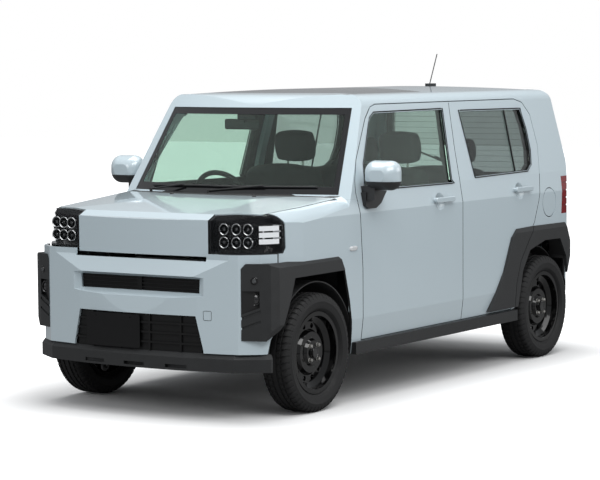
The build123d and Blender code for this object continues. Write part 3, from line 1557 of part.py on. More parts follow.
save("rear_axle", rear_axle.part)

# Fuel tank and exhaust
tank_foot_z = 190.0
with BuildPart() as tank:
    with BuildSketch(Plane.XY.offset(tank_foot_z)):
        with Locations((split_x + 296.5, 185)):
            RectangleRounded(600, 490, 60)
    extrude(amount=floor_z - seat_gap - tank_foot_z)
    fillet(tank.faces().sort_by(Axis.Z)[0].edges(), 18)
save("fuel_tank", tank.part)
pipe_y, pipe_radius, muffler_x = -150.0, 21.0, rear_x + 107.5
with BuildPart() as exhaust:
    with BuildLine() as route:
        FilletPolyline(
            (engine_rear_x - seat_gap, pipe_y, 400),
            (front_axle_x - 207.5, pipe_y, 400),
            (front_axle_x - 257.5, pipe_y, 228),
            (rear_axle_x + 122.5, pipe_y, 228),
            (rear_axle_x - 57.5, pipe_y, 290),
            (rear_axle_x - 137.5, pipe_y, 290),
            radius=30,
        )
    with BuildSketch(Plane(origin=route.line @ 0, z_dir=route.line % 0)):
        Circle(pipe_radius)
    sweep()
    with BuildSketch(Plane.YZ.offset(muffler_x)):
        with Locations((-100, 295)):
            RectangleRounded(360, 110, 50)
    extrude(amount=160)
    with BuildSketch(Plane.YZ.offset(muffler_x - 60)):
        with Locations((-230, 290)):
            Circle(pipe_radius - 1)
    extrude(amount=70)
    with BuildSketch(Plane.XY.offset(340)):
        with Locations((muffler_x + 80, -100)):
            Rectangle(40, 120)
    extrude(amount=load_floor_z - seat_gap - 340)
save("exhaust", exhaust.part)

# Seats
seat_x = split_x + 266.5
seat_y, seat_half = 345.0, 245.0
seat_side = from_x(
    seat_x,
    [
        (460, 470),
        (475, 560),
        (440, 612),
        (20, 590),
        (-30, 640),
        (-170, 1150),
        (-230, 1165),
        (-265, 1130),
        (-150, 560),
        (-100, 440),
    ],
)
head_side = from_x(
    seat_x,
    [(-188, 1175), (-182, 1330), (-210, 1352), (-265, 1345), (-280, 1190), (-260, 1165), (-210, 1160)],
)
stand_z = floor_top_z + seat_gap
base_side = from_x(seat_x, [(380, stand_z), (380, 480), (-70, 480), (-70, stand_z)])
with BuildPart() as front_seat:
    add(across(seat_side, seat_y - seat_half, seat_y + seat_half))
    add(across(base_side, seat_y - 190, seat_y + 190))
    add(across(head_side, seat_y - 130, seat_y + 130))
save("front_seats", both_sides(front_seat.part))
bench_half = side_y - 137.0
bench_side = from_x(
    rear_floor_x,
    [
        (470, 450),
        (480, 540),
        (440, 590),
        (40, 570),
        (0, 620),
        (-130, 1140),
        (-180, 1150),
        (-210, 1110),
        (-100, 560),
        (1, 540),
        (1, 450),
    ],
)
bench_head_side = from_x(rear_floor_x, [(-155, 1140), (-150, 1290), (-200, 1300), (-220, 1140)])
with BuildPart() as bench:
    add(across(bench_side, -bench_half, bench_half))
    add(block(rear_floor_x + 20, rear_floor_x + 380, 25 - bench_half, bench_half - 25, stand_z, 460))
    for middle in [330, -330]:
        add(across(bench_head_side, middle - 120, middle + 120))
save("rear_seat", bench.part)

# Dashboard and steering wheel
column_tilt = math.radians(27)
column = Vector(-math.cos(column_tilt), 0, math.sin(column_tilt))
column_rise = Vector(math.sin(column_tilt), 0, math.cos(column_tilt))
wheel_hub = Vector(front_axle_x - 737.5, -350, 985)
shaft_radius, ring_radius, ring_tube = 12.0, 172.0, 14.0
dash_side = from_x(
    firewall_x,
    [(-seat_gap, 700), (-240, 700), (-300, 800), (-280, 960), (-200, 1025), (-20, 1035), (-seat_gap, 1000)],
)
with BuildPart() as dash:
    add(across(dash_side, -(side_y - 114), side_y - 114))
    add(cabin_seat, mode=Mode.INTERSECT)
    add(tube(tuple(wheel_hub - column * 240), tuple(wheel_hub - column * 58), 34))
    add(tube(tuple(wheel_hub - column * 160), tuple(wheel_hub), shaft_radius + run_gap), mode=Mode.SUBTRACT)
save("dashboard", dash.part)
spoke_ends = [(0, 168), (0, -168), (-168, 0)]
with BuildPart() as steering:
    with BuildSketch(Plane(origin=tuple(wheel_hub), x_dir=tuple(column), z_dir=(0, 1, 0))):
        with Locations((0, ring_radius)):
            Circle(ring_tube)
    revolve(axis=Axis(tuple(wheel_hub), tuple(column)))
    add(tube(tuple(wheel_hub - column * 50), tuple(wheel_hub - column * 4), 62))
    add(tube(tuple(wheel_hub - column * 150), tuple(wheel_hub - column * 40), shaft_radius))
    for up, sideways in spoke_ends:
        tip = wheel_hub + Vector(0, sideways, 0) + column_rise * up
        add(tube(tuple(wheel_hub - column * 25), tuple(tip), 11))
save("steering_wheel", steering.part)

# Antenna on the roof
mast_foot = (rear_axle_x + 82.5, 0, roof_z + 5.0)
mast_tip = (rear_axle_x - 8.5, 0, 1776.0)
with BuildPart() as antenna:
    add(block(rear_axle_x + 32.5, rear_axle_x + 107.5, -16, 16, 1560, 1602))
    add(tube(mast_foot, mast_tip, 3))
    add(proud, mode=Mode.SUBTRACT)
save("antenna", antenna.part)
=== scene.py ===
import math

import bmesh
import bpy
from mathutils import Matrix, Vector
from mathutils.bvhtree import BVHTree


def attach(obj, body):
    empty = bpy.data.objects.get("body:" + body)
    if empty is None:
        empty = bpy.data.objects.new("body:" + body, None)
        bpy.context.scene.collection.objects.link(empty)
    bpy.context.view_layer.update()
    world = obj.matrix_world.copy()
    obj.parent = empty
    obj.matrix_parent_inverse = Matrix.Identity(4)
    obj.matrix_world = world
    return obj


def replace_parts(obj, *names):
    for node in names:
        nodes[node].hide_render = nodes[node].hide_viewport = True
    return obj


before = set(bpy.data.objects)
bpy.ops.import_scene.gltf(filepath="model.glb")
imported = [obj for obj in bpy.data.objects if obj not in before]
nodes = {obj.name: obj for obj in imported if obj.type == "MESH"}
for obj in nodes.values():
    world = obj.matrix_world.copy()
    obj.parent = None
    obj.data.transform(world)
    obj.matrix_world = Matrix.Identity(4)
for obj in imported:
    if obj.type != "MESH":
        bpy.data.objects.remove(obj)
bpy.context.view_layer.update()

# Places on the car, in metres
AXLES = {"front": 1.1375, "rear": -1.3225}
WHEEL_Y, AXLE_Z = 0.650, 0.2975
FRONT_WINDOW = [(0.648, 1.082), (0.620, 1.212), (0.478, 1.440), (0.430, 1.466),
                (-0.292, 1.470), (-0.248, 1.090), (-0.262, 1.076)]
REAR_WINDOW = [(-0.478, 1.456), (-0.522, 1.094), (-1.150, 1.102), (-1.205, 1.135),
               (-1.230, 1.215), (-1.226, 1.340), (-1.196, 1.452)]
TAIL_WINDOW = [(-0.500, 1.060), (0.500, 1.060), (0.468, 1.440), (-0.468, 1.440)]
SIDES = {"left": 1, "right": -1}


# Camera at the photograph's place: a long lens, ten metres ahead and to the left
CAMERA_SPOT = (10.5666, 6.7598, 1.7417)
CAMERA_ANGLES = (-146.927, -4.508, -0.39)
CAMERA_LENS = 136.4


def place_camera():
    """The photograph's view of the car; the angles are heading, tilt and roll in degrees."""
    spot = Vector(CAMERA_SPOT)
    az, el, roll = (math.radians(angle) for angle in CAMERA_ANGLES)
    ahead = Vector((math.cos(el) * math.cos(az), math.cos(el) * math.sin(az), math.sin(el)))
    right = ahead.cross(Vector((0, 0, 1))).normalized()
    up = right.cross(ahead)
    across = right * math.cos(roll) + up * math.sin(roll)
    rise = up * math.cos(roll) - right * math.sin(roll)
    data = bpy.data.cameras.new("camera")
    data.lens = CAMERA_LENS
    data.sensor_width = 36
    data.clip_end = 100
    camera = bpy.data.objects.new("camera", data)
    bpy.context.scene.collection.objects.link(camera)
    turn = Matrix((across, rise, -ahead)).transposed().to_4x4()
    camera.matrix_world = Matrix.Translation(spot) @ turn
    bpy.context.scene.camera = camera


# Studio: pale floor, white surroundings and soft area lamps
LAMPS = [
    # name, place, what it aims at, width, height, watts
    ("key", (3.5, 4.5, 5.5), (0.3, 0, 0.6), 5, 3, 240),
    ("front_fill", (7.0, -1.5, 3.6), (1.2, 0, 0.9), 4, 2.5, 85),
    ("top", (0.2, 0, 6.5), (0.1, 0, 1), 6, 4, 330),
    ("side_fill", (-3.5, 6.0, 2.6), (-0.6, 0.3, 0.8), 4, 3, 90),
]
WORLD_LIGHT = 0.42
FLOOR_REACH = 30.0
FLOOR_COLOUR, FLOOR_BOUNCE = 0.8, 0.28
# Half the length and width of the painted shadow patch under the car, where the floor's glow is left
# out, and the reach of its fade to white
SHADE_LENGTH, SHADE_WIDTH, SHADE_FADE = 1.55, 0.60, 1.3


def lamp(name, spot, aim, width, height, watts):
    data = bpy.data.lights.new(name, "AREA")
    data.shape = "RECTANGLE"
    data.size, data.size_y, data.energy = width, height, watts
    obj = bpy.data.objects.new(name, data)
    bpy.context.scene.collection.objects.link(obj)
    obj.location = spot
    obj.rotation_euler = (Vector(aim) - Vector(spot)).to_track_quat("-Z", "Y").to_euler()


def studio():
    scene = bpy.context.scene
    scene.view_settings.view_transform = "Standard"
    world = bpy.data.worlds.new("studio")
    scene.world = world
    world.use_nodes = True
    tree = world.node_tree
    tree.nodes.clear()
    out = tree.nodes.new("ShaderNodeOutputWorld")
    seen = tree.nodes.new("ShaderNodeBackground")
    seen.inputs["Color"].default_value = (1, 1, 1, 1)
    seen.inputs["Strength"].default_value = 1.0
    lit = tree.nodes.new("ShaderNodeBackground")
    lit.inputs["Color"].default_value = (0.94, 0.97, 1.0, 1)
    lit.inputs["Strength"].default_value = WORLD_LIGHT
    path = tree.nodes.new("ShaderNodeLightPath")
    both = tree.nodes.new("ShaderNodeMath")
    both.operation = "MAXIMUM"
    mix = tree.nodes.new("ShaderNodeMixShader")
    tree.links.new(path.outputs["Is Camera Ray"], both.inputs[0])
    tree.links.new(path.outputs["Is Transmission Ray"], both.inputs[1])
    tree.links.new(both.outputs[0], mix.inputs[0])
    tree.links.new(lit.outputs[0], mix.inputs[1])
    tree.links.new(seen.outputs[0], mix.inputs[2])
    tree.links.new(mix.outputs[0], out.inputs[0])
    for row in LAMPS:
        lamp(*row)
    lay_floor()


def lay_floor():
    """A pale floor that keeps the cast shadow and fades into the white surroundings; its glow is left
    out under the car, a painted shadow.
    """
    mesh = bpy.data.meshes.new("floor")
    far = FLOOR_REACH
    corners = [(-far, -far, 0), (far, -far, 0), (far, far, 0), (-far, far, 0)]
    mesh.from_pydata(corners, [], [(0, 1, 2, 3)])
    floor = bpy.data.objects.new("floor", mesh)
    bpy.context.scene.collection.objects.link(floor)
    mat = bpy.data.materials.new("floor")
    mat.use_nodes = True
    tree = mat.node_tree
    tree.nodes.clear()
    end = tree.nodes.new("ShaderNodeOutputMaterial")
    shade = tree.nodes.new("ShaderNodeBsdfDiffuse")
    shade.inputs["Color"].default_value = (*[FLOOR_COLOUR] * 3, 1)
    bounce = tree.nodes.new("ShaderNodeBsdfDiffuse")
    bounce.inputs["Color"].default_value = (*[FLOOR_BOUNCE] * 3, 1)
    # The glow is nothing over the car's footprint and rises outside it: a painted shadow under the car,
    # added to the real one.
    glow = tree.nodes.new("ShaderNodeEmission")
    where = tree.nodes.new("ShaderNodeTexCoord")
    size = tree.nodes.new("ShaderNodeVectorMath")
    size.operation = "ABSOLUTE"
    past = tree.nodes.new("ShaderNodeVectorMath")
    past.operation = "SUBTRACT"
    past.inputs[1].default_value = (SHADE_LENGTH, SHADE_WIDTH, 0)
    outside = tree.nodes.new("ShaderNodeVectorMath")
    outside.operation = "MAXIMUM"
    outside.inputs[1].default_value = (0, 0, 0)
    reach = tree.nodes.new("ShaderNodeVectorMath")
    reach.operation = "LENGTH"
    fade = tree.nodes.new("ShaderNodeMapRange")
    fade.interpolation_type = "SMOOTHSTEP"
    fade.inputs["From Max"].default_value = SHADE_FADE
    add = tree.nodes.new("ShaderNodeAddShader")
    ray = tree.nodes.new("ShaderNodeLightPath")
    pick = tree.nodes.new("ShaderNodeMixShader")
    tree.links.new(where.outputs["Object"], size.inputs[0])
    tree.links.new(size.outputs[0], past.inputs[0])
    tree.links.new(past.outputs[0], outside.inputs[0])
    tree.links.new(outside.outputs[0], reach.inputs[0])
    tree.links.new(reach.outputs["Value"], fade.inputs["Value"])
    tree.links.new(fade.outputs["Result"], glow.inputs["Strength"])
    direct = tree.nodes.new("ShaderNodeMath")
    direct.operation = "MAXIMUM"
    tree.links.new(ray.outputs["Is Camera Ray"], direct.inputs[0])
    tree.links.new(ray.outputs["Is Transmission Ray"], direct.inputs[1])
    tree.links.new(direct.outputs[0], pick.inputs[0])
    tree.links.new(bounce.outputs[0], pick.inputs[1])
    tree.links.new(shade.outputs[0], add.inputs[0])
    tree.links.new(glow.outputs[0], add.inputs[1])
    tree.links.new(add.outputs[0], pick.inputs[2])
    tree.links.new(pick.outputs[0], end.inputs[0])
    mesh.materials.append(mat)


place_camera()
studio()


# Materials, one small tree each
def material(
    name, colour, rough, metal=0.0, coat=0.0, alpha=1.0, ior=1.5, spec=0.5, glow=None, through=0.0
):
    """A shader with plain values; through lets light pass, glow is (colour, strength)."""
    mat = bpy.data.materials.new(name)
    mat.use_nodes = True
    shader = mat.node_tree.nodes["Principled BSDF"]
    shader.inputs["Base Color"].default_value = (*colour, 1)
    shader.inputs["Roughness"].default_value = rough
    shader.inputs["Metallic"].default_value = metal
    shader.inputs["Coat Weight"].default_value = coat
    shader.inputs["Coat Roughness"].default_value = 0.04
    shader.inputs["IOR"].default_value = ior
    shader.inputs["Specular IOR Level"].default_value = spec
    shader.inputs["Alpha"].default_value = alpha
    shader.inputs["Transmission Weight"].default_value = through
    if glow:
        shader.inputs["Emission Color"].default_value = (*glow[0], 1)
        shader.inputs["Emission Strength"].default_value = glow[1]
    return mat


NOISE_DETAIL = 3.0


def vary(mat, spread, scale, rough=None, bump=0.0, bump_scale=200.0):
    """Makes colour and roughness wander a little over the surface, and adds a fine bump."""
    tree = mat.node_tree
    shader = tree.nodes["Principled BSDF"]
    colour = tuple(shader.inputs["Base Color"].default_value)[:3]
    where = tree.nodes.new("ShaderNodeTexCoord")
    noise = tree.nodes.new("ShaderNodeTexNoise")
    noise.inputs["Scale"].default_value = scale
    noise.inputs["Detail"].default_value = NOISE_DETAIL
    tree.links.new(where.outputs["Object"], noise.inputs["Vector"])
    ramp = tree.nodes.new("ShaderNodeValToRGB")
    ramp.color_ramp.elements[0].position = 0.3
    ramp.color_ramp.elements[1].position = 0.7
    ramp.color_ramp.elements[0].color = (*[max(0, c * (1 - spread)) for c in colour], 1)
    ramp.color_ramp.elements[1].color = (*[min(1, c * (1 + spread)) for c in colour], 1)
    tree.links.new(noise.outputs["Fac"], ramp.inputs["Fac"])
    tree.links.new(ramp.outputs["Color"], shader.inputs["Base Color"])
    if rough:
        span = tree.nodes.new("ShaderNodeMapRange")
        span.inputs["To Min"].default_value = rough[0]
        span.inputs["To Max"].default_value = rough[1]
        tree.links.new(noise.outputs["Fac"], span.inputs["Value"])
        tree.links.new(span.outputs["Result"], shader.inputs["Roughness"])
    if bump:
        grain = tree.nodes.new("ShaderNodeTexNoise")
        grain.inputs["Scale"].default_value = bump_scale
        grain.inputs["Detail"].default_value = NOISE_DETAIL
        tree.links.new(where.outputs["Object"], grain.inputs["Vector"])
        push = tree.nodes.new("ShaderNodeBump")
        push.inputs["Strength"].default_value = bump
        push.inputs["Distance"].default_value = 0.001
        tree.links.new(grain.outputs["Fac"], push.inputs["Height"])
        tree.links.new(push.outputs["Normal"], shader.inputs["Normal"])


def steps(tree, operation, a, b=None):
    """A math node whose inputs are sockets or numbers; its output socket."""
    node = tree.nodes.new("ShaderNodeMath")
    node.operation = operation
    for i, value in enumerate([a, b]):
        if value is None:
            continue
        if isinstance(value, (int, float)):
            node.inputs[i].default_value = value
        else:
            tree.links.new(value, node.inputs[i])
    return node.outputs[0]


def place_sockets(tree):
    """The X, Y and Z of the shaded point in the row frame."""
    where = tree.nodes.new("ShaderNodeTexCoord")
    split = tree.nodes.new("ShaderNodeSeparateXYZ")
    tree.links.new(where.outputs["Object"], split.inputs[0])
    return split.outputs[0], split.outputs[1], split.outputs[2]


def painted_over(mat, second, mask):
    """Where mask(tree, x, y, z) is 1, the material takes the second one's plain values."""
    tree = mat.node_tree
    first = tree.nodes["Principled BSDF"]
    over = tree.nodes.new("ShaderNodeBsdfPrincipled")
    for name, value in second.items():
        over.inputs[name].default_value = value
    mix = tree.nodes.new("ShaderNodeMixShader")
    tree.links.new(mask(tree, *place_sockets(tree)), mix.inputs[0])
    tree.links.new(first.outputs[0], mix.inputs[1])
    tree.links.new(over.outputs[0], mix.inputs[2])
    out = next(n for n in tree.nodes if n.type == "OUTPUT_MATERIAL")
    tree.links.new(mix.outputs[0], out.inputs[0])


# Where a second finish starts on a node: mirror feet, the bumper's lamp recess, the band round
# the windscreen and the heater lines of the rear window
MIRROR_FOOT_Z = 1.128
RECESS_Y, RECESS_LOW_Z, RECESS_HIGH_Z = 0.5935, 0.425, 0.690
SCREEN_FOOT_Z, SCREEN_LEAN = 1.062, 0.177
SCREEN_BAND_Y, SCREEN_BAND_LOW_Z, SCREEN_BAND_HIGH_Z = 0.613, 1.100, 1.462
HEATER_PITCH, HEATER_SHARE = 0.034, 0.05


def plain(colour, rough, coat=0.0):
    """Plain shader values for a second finish on one material."""
    return {
        "Base Color": (*colour, 1),
        "Roughness": rough,
        "Coat Weight": coat,
        "Metallic": 0.0,
        "Transmission Weight": 0.0,
    }


def mirror_foot_mask(tree, x, y, z):
    """1 below the painted dome of a door mirror."""
    return steps(tree, "LESS_THAN", z, MIRROR_FOOT_Z)


def behind_cladding_mask(tree, x, y, z):
    """1 where the bumper lies behind the cladding's lamp recess."""
    wide = steps(tree, "GREATER_THAN", steps(tree, "ABSOLUTE", y), RECESS_Y)
    low = steps(tree, "GREATER_THAN", z, RECESS_LOW_Z)
    high = steps(tree, "LESS_THAN", z, RECESS_HIGH_Z)
    return steps(tree, "MULTIPLY", wide, steps(tree, "MULTIPLY", low, high))


def screen_edge_mask(tree, x, y, z):
    """1 in the black band round the windscreen, whose sides lean inward."""
    up = steps(tree, "SUBTRACT", z, SCREEN_FOOT_Z)
    edge = steps(tree, "SUBTRACT", SCREEN_BAND_Y, steps(tree, "MULTIPLY", up, SCREEN_LEAN))
    wide = steps(tree, "GREATER_THAN", steps(tree, "ABSOLUTE", y), edge)
    low = steps(tree, "LESS_THAN", z, SCREEN_BAND_LOW_Z)
    high = steps(tree, "GREATER_THAN", z, SCREEN_BAND_HIGH_Z)
    return steps(tree, "MAXIMUM", wide, steps(tree, "MAXIMUM", low, high))


def heater_mask(tree, x, y, z):
    """1 on the thin heater lines of the rear window."""
    wave = steps(tree, "FRACT", steps(tree, "MULTIPLY", z, 1 / HEATER_PITCH))
    return steps(tree, "LESS_THAN", wave, HEATER_SHARE)


PAINT = (0.500, 0.590, 0.635)
PAINT_GRAIN = (0.02, 420)
FINISHES = [
    # name, colour, roughness, other shader values,
    # and how it varies: colour spread, scale, roughness range, bump, bump scale
    ("paint", PAINT, 0.28, {"coat": 1.0}, PAINT_GRAIN),
    ("mirror_paint", PAINT, 0.28, {"coat": 1.0}, PAINT_GRAIN),
    ("bumper_paint", PAINT, 0.28, {"coat": 1.0}, PAINT_GRAIN),
    ("clad", (0.014, 0.015, 0.016), 0.5, {}, (0.12, 20, (0.48, 0.60), 0.3, 1400)),
    ("dark", (0.004, 0.004, 0.0045), 0.45, {"spec": 0.3}, (0.2, 30, (0.32, 0.5), 0.1, 600)),
    ("piano", (0.003, 0.003, 0.0035), 0.12, {"coat": 0.5}, (0.1, 12)),
    ("grille", (0.004, 0.004, 0.0042), 0.45, {"spec": 0.25}, (0.12, 20, (0.4, 0.55), 0.2, 1400)),
    ("plate_black", (0.003, 0.003, 0.0035), 0.35, {"spec": 0.3}, (0.1, 20)),
    ("display", (0.004, 0.004, 0.005), 0.12, {"coat": 1.0}, (0.1, 12)),
    ("under", (0.02, 0.02, 0.021), 0.7, {}, (0.3, 9, (0.6, 0.8), 0.3, 300)),
    ("metal", (0.05, 0.05, 0.052), 0.5, {"metal": 0.6}, (0.3, 14, (0.4, 0.6), 0.3, 300)),
    ("steel", (0.42, 0.41, 0.39), 0.4, {"metal": 1.0}, (0.2, 18, (0.3, 0.5), 0.1, 300)),
    ("block", (0.35, 0.35, 0.36), 0.5, {"metal": 0.9}, (0.15, 12, (0.4, 0.6), 0.4, 260)),
    ("wheel", (0.0015, 0.0015, 0.0016), 0.1, {"coat": 0.35, "spec": 0.35},
     (0.1, 20, (0.07, 0.13), 0.02, 400)),
    ("tyre", (0.006, 0.006, 0.0065), 0.7, {}, (0.2, 25, (0.62, 0.82), 0.25, 700)),
    ("cloth", (0.016, 0.016, 0.017), 0.9, {}, (0.25, 300, (0.85, 0.98), 0.5, 1200)),
    ("trim", (0.012, 0.012, 0.013), 0.6, {}, (0.15, 20, (0.5, 0.7), 0.25, 900)),
    ("chrome", (0.80, 0.81, 0.82), 0.08, {"metal": 1.0}, (0.02, 30, (0.05, 0.12))),
    ("smoke", (0.55, 0.56, 0.57), 0.12, {"metal": 1.0}, (0.3, 55, (0.08, 0.2), 0.6, 70)),
    ("mirror_glass", (0.75, 0.78, 0.80), 0.03, {"metal": 1.0}, None),
    ("bar", (0.85, 0.87, 0.88), 0.25, {"coat": 1.0, "glow": ((0.9, 0.95, 1.0), 0.25)}, None),
    ("marker", (0.62, 0.64, 0.65), 0.1, {"coat": 1.0}, None),
    ("clear", (0.22, 0.23, 0.24), 0.04, {"alpha": 0.30, "ior": 1.6}, None),
    ("lens", (0.05, 0.055, 0.06), 0.02, {"alpha": 0.07, "ior": 1.45}, None),
    ("glass", (0.60, 0.76, 0.68), 0.0, {"ior": 1.45, "through": 1.0}, None),
    ("screen", (0.64, 0.79, 0.71), 0.0, {"ior": 1.45, "through": 1.0}, None),
    ("privacy", (0.36, 0.41, 0.40), 0.0, {"ior": 1.45, "through": 1.0}, None),
    ("tail_glass", (0.36, 0.41, 0.40), 0.0, {"ior": 1.45, "through": 1.0}, None),
    ("red", (0.19, 0.004, 0.007), 0.08, {"coat": 0.6}, (0.1, 30)),
    ("white", (0.78, 0.79, 0.80), 0.35, {}, (0.02, 20)),
]
mats = {}
for name, colour, rough, values, wander in FINISHES:
    mats[name] = material(name, colour, rough, **values)
    if wander:
        vary(mats[name], *wander)
painted_over(mats["bumper_paint"], plain((0.004, 0.004, 0.0045), 0.5), behind_cladding_mask)
painted_over(mats["mirror_paint"], plain((0.02, 0.02, 0.021), 0.5), mirror_foot_mask)
painted_over(mats["screen"], plain((0.006, 0.006, 0.007), 0.12, 1.0), screen_edge_mask)
painted_over(mats["tail_glass"], plain((0.05, 0.03, 0.02), 0.4), heater_mask)
dress = {
    "bumper_paint": "front_bumper",
    "paint": "body_shell fuel_lid tailgate bonnet fenders rear_bumper "
             "door_front_left door_front_right door_rear_left door_rear_right",
    "mirror_paint": "mirror_left mirror_right",
    "clad": "cladding door_cladding_left door_cladding_right front_lip cowl antenna wipers",
    "grille": "grilles",
    "piano": "roof_panel lamp_units",
    "under": "underbody fuel_tank",
    "metal": "knuckle_left knuckle_right subframe rear_axle tow_hooks",
    "steel": "exhaust",
    "block": "engine",
    "wheel": "rim_front_left rim_front_right rim_rear_left rim_rear_right",
    "tyre": "tyre_front_left tyre_front_right tyre_rear_left tyre_rear_right",
    "cloth": "front_seats rear_seat",
    "trim": "dashboard steering_wheel",
    "screen": "windscreen",
    "glass": "glass_front_left glass_front_right",
    "privacy": "glass_rear_left glass_rear_right",
    "tail_glass": "glass_tailgate",
    "lens": "headlamps",
    "red": "tail_lamps",
    "white": "rear_plate",
    "plate_black": "front_plate",
}
for key, names in dress.items():
    for name in names.split():
        mesh = nodes[name].data
        if not mesh.materials:
            mesh.materials.append(mats[key])
        for i in range(len(mesh.materials)):
            mesh.materials[i] = mats[key]


# Faces of a CAD node that take a second material, picked by where they are and where they look
def line_gap(point, line):
    """The distance from a point to a closed outline in a plane."""
    best = 1.0
    for start, end in zip(line, line[1:] + line[:1]):
        a, b = Vector(start), Vector(end)
        along = b - a
        share = max(0.0, min(1.0, (Vector(point) - a).dot(along) / along.length_squared))
        best = min(best, (Vector(point) - a - along * share).length)
    return best


def repaint(name, key, wanted):
    """Gives the node's faces for which wanted(centre, normal) is true another material."""
    mesh = nodes[name].data
    mesh.materials.append(mats[key])
    index = len(mesh.materials) - 1
    for face in mesh.polygons:
        if wanted(face.center, face.normal):
            face.material_index = index


REVEAL_REACH = 0.004
HANDLE_Z, HANDLE_HALF_Z, HANDLE_HALF_X = 0.995, 0.055, 0.125
WHEEL_ROOM_Z = 0.80


def door_edge_shade(handle_x):
    """The test for a door's narrow edge faces, without the handle's own sides; they take the dark
    finish as painted shade in the shut lines.
    """
    def wanted(c, n):
        handle = abs(c.z - HANDLE_Z) < HANDLE_HALF_Z and abs(c.x - handle_x) < HANDLE_HALF_X
        return abs(n.y) < 0.3 and abs(c.y) > 0.60 and not handle
    return wanted


def opening_edge_shade(c, n):
    """The shell's edges round the door openings and round the tailgate, which take the dark finish as
    painted shade in the shut lines.
    """
    doors = abs(n.y) < 0.3 and abs(c.y) > 0.60 and -1.42 < c.x < 0.885
    pillar_front = n.x >= 0.3 and c.z >= 1.04
    tail = c.x < -1.60 and abs(n.x) < 0.3 and abs(c.y) < 0.69
    return (doors and not pillar_front and c.z < 1.515) or tail


def tailgate_edge_shade(c, n):
    """The tailgate's narrow edge faces, which take the dark finish as painted shade in its shut lines.
    """
    return abs(n.x) < 0.2 and (abs(c.y) > 0.60 or c.z > 1.50 or c.z < 0.60)


def lamp_bar(c, n):
    """The front faces of the three bars at a headlamp's outer end."""
    at_bars = 0.635 < abs(c.y) < 0.6905 and 0.858 < c.z < 0.950
    return at_bars and c.x > 1.35 and n.x > 0.2


def window_reveal(window, axis):
    """The test for the faces inside a window's cut: axis is the panel's thickness direction."""
    other = 1 - axis
    return lambda c, n: abs(n[axis]) < 0.6 and line_gap((c[other], c.z), window) < REVEAL_REACH


for side, sign in SIDES.items():
    for end, window in [("front", FRONT_WINDOW), ("rear", REAR_WINDOW)]:
        name = f"door_{end}_{side}"
        repaint(name, "trim", lambda c, n: n.y * sign < -0.35)
        repaint(name, "dark", window_reveal(window, 1))
repaint("tailgate", "trim", lambda c, n: n.x > 0.35)
repaint("tailgate", "dark", window_reveal(TAIL_WINDOW, 0))
# The doors' narrow edges take the dark finish: painted shade in the shut lines.
for side in SIDES:
    for end, handle_x in [("front", -0.1245), ("rear", -1.0465)]:
        repaint(f"door_{end}_{side}", "dark", door_edge_shade(handle_x))
repaint("body_shell", "dark", opening_edge_shade)
repaint("body_shell", "under", lambda c, n: c.x < -0.95 and c.z < WHEEL_ROOM_Z and abs(c.y) < 0.708)
repaint("fenders", "under", lambda c, n: c.z < WHEEL_ROOM_Z and (abs(c.y) < 0.70 or abs(n.y) < 0.3))
repaint("rear_bumper", "under", lambda c, n: n.x > 0.3 or (abs(c.y) < 0.66 and abs(n.y) > 0.8))
repaint("front_bumper", "under", lambda c, n: n.x < -0.3)
repaint("tailgate", "dark", tailgate_edge_shade)
# The bonnet's sides, underside and rear edge take the dark finish: painted shade in the gaps round the
# bonnet.
repaint("bonnet", "dark", lambda c, n: abs(n.y) > 0.9 or n.z < -0.5 or n.x < -0.8)
repaint("lamp_units", "bar", lamp_bar)


# Building blocks for the pieces; a form is a list of points and a list of faces
def piece(name, form, key, body, angle=35.0):
    """A new mesh piece in a material, on a body."""
    mesh = bpy.data.meshes.new(name)
    verts, faces = form
    mesh.from_pydata([tuple(v) for v in verts], [], faces)
    mesh.validate()
    solid = bmesh.new()
    solid.from_mesh(mesh)
    bmesh.ops.recalc_face_normals(solid, faces=solid.faces)
    solid.to_mesh(mesh)
    solid.free()
    mesh.shade_smooth()
    mesh.set_sharp_from_angle(angle=math.radians(angle))
    mesh.materials.append(mats[key])
    obj = bpy.data.objects.new(name, mesh)
    bpy.context.scene.collection.objects.link(obj)
    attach(obj, body)
    return obj


def rings(loops, closed_ends=True):
    """The form that joins a list of equal loops of points."""
    verts = [p for loop in loops for p in loop]
    count = len(loops[0])
    faces = []
    for row in range(len(loops) - 1):
        for i in range(count):
            j = (i + 1) % count
            here, there = row * count, (row + 1) * count
            faces.append((here + i, here + j, there + j, there + i))
    if closed_ends:
        faces.append(tuple(range(count))[::-1])
        faces.append(tuple((len(loops) - 1) * count + i for i in range(count)))
    return verts, faces


def ringed(loops):
    """The form that joins a list of equal loops of points and closes on itself."""
    last = len(loops) * len(loops[0])
    verts, faces = rings(loops + [loops[0]], closed_ends=False)
    return verts[:last], [tuple(v % last for v in face) for face in faces]


def turned(profile, centre, axis, count=32):
    """A turned form: rows of (distance along the axis, radius) round a centre."""
    axis = Vector(axis).normalized()
    first = axis.orthogonal().normalized()
    second = axis.cross(first)
    loops = []
    for along, radius in profile:
        loop = []
        for i in range(count):
            turn = 2 * math.pi * i / count
            spoke = first * math.cos(turn) + second * math.sin(turn)
            loop.append(Vector(centre) + axis * along + spoke * max(radius, 1e-5))
        loops.append(loop)
    return rings(loops)


def hose(points, radius, closed=False, count=8, flat=1.0, flat_axis=None):
    """A round or flattened bar along a line of points."""
    points = [Vector(p) for p in points]
    loops = []
    total = len(points)
    for i, point in enumerate(points):
        before = points[(i - 1) % total] if closed or i else point
        after = points[(i + 1) % total] if closed or i < total - 1 else point
        way = (after - before).normalized()
        side = Vector(flat_axis) if flat_axis else way.orthogonal()
        side = (side - way * side.dot(way)).normalized()
        up = way.cross(side)
        loop = []
        for k in range(count):
            turn = 2 * math.pi * (k + 0.5) / count
            across = side * math.cos(turn) * radius * flat
            loop.append(point + across + up * math.sin(turn) * radius)
        loops.append(loop)
    return ringed(loops) if closed else rings(loops)


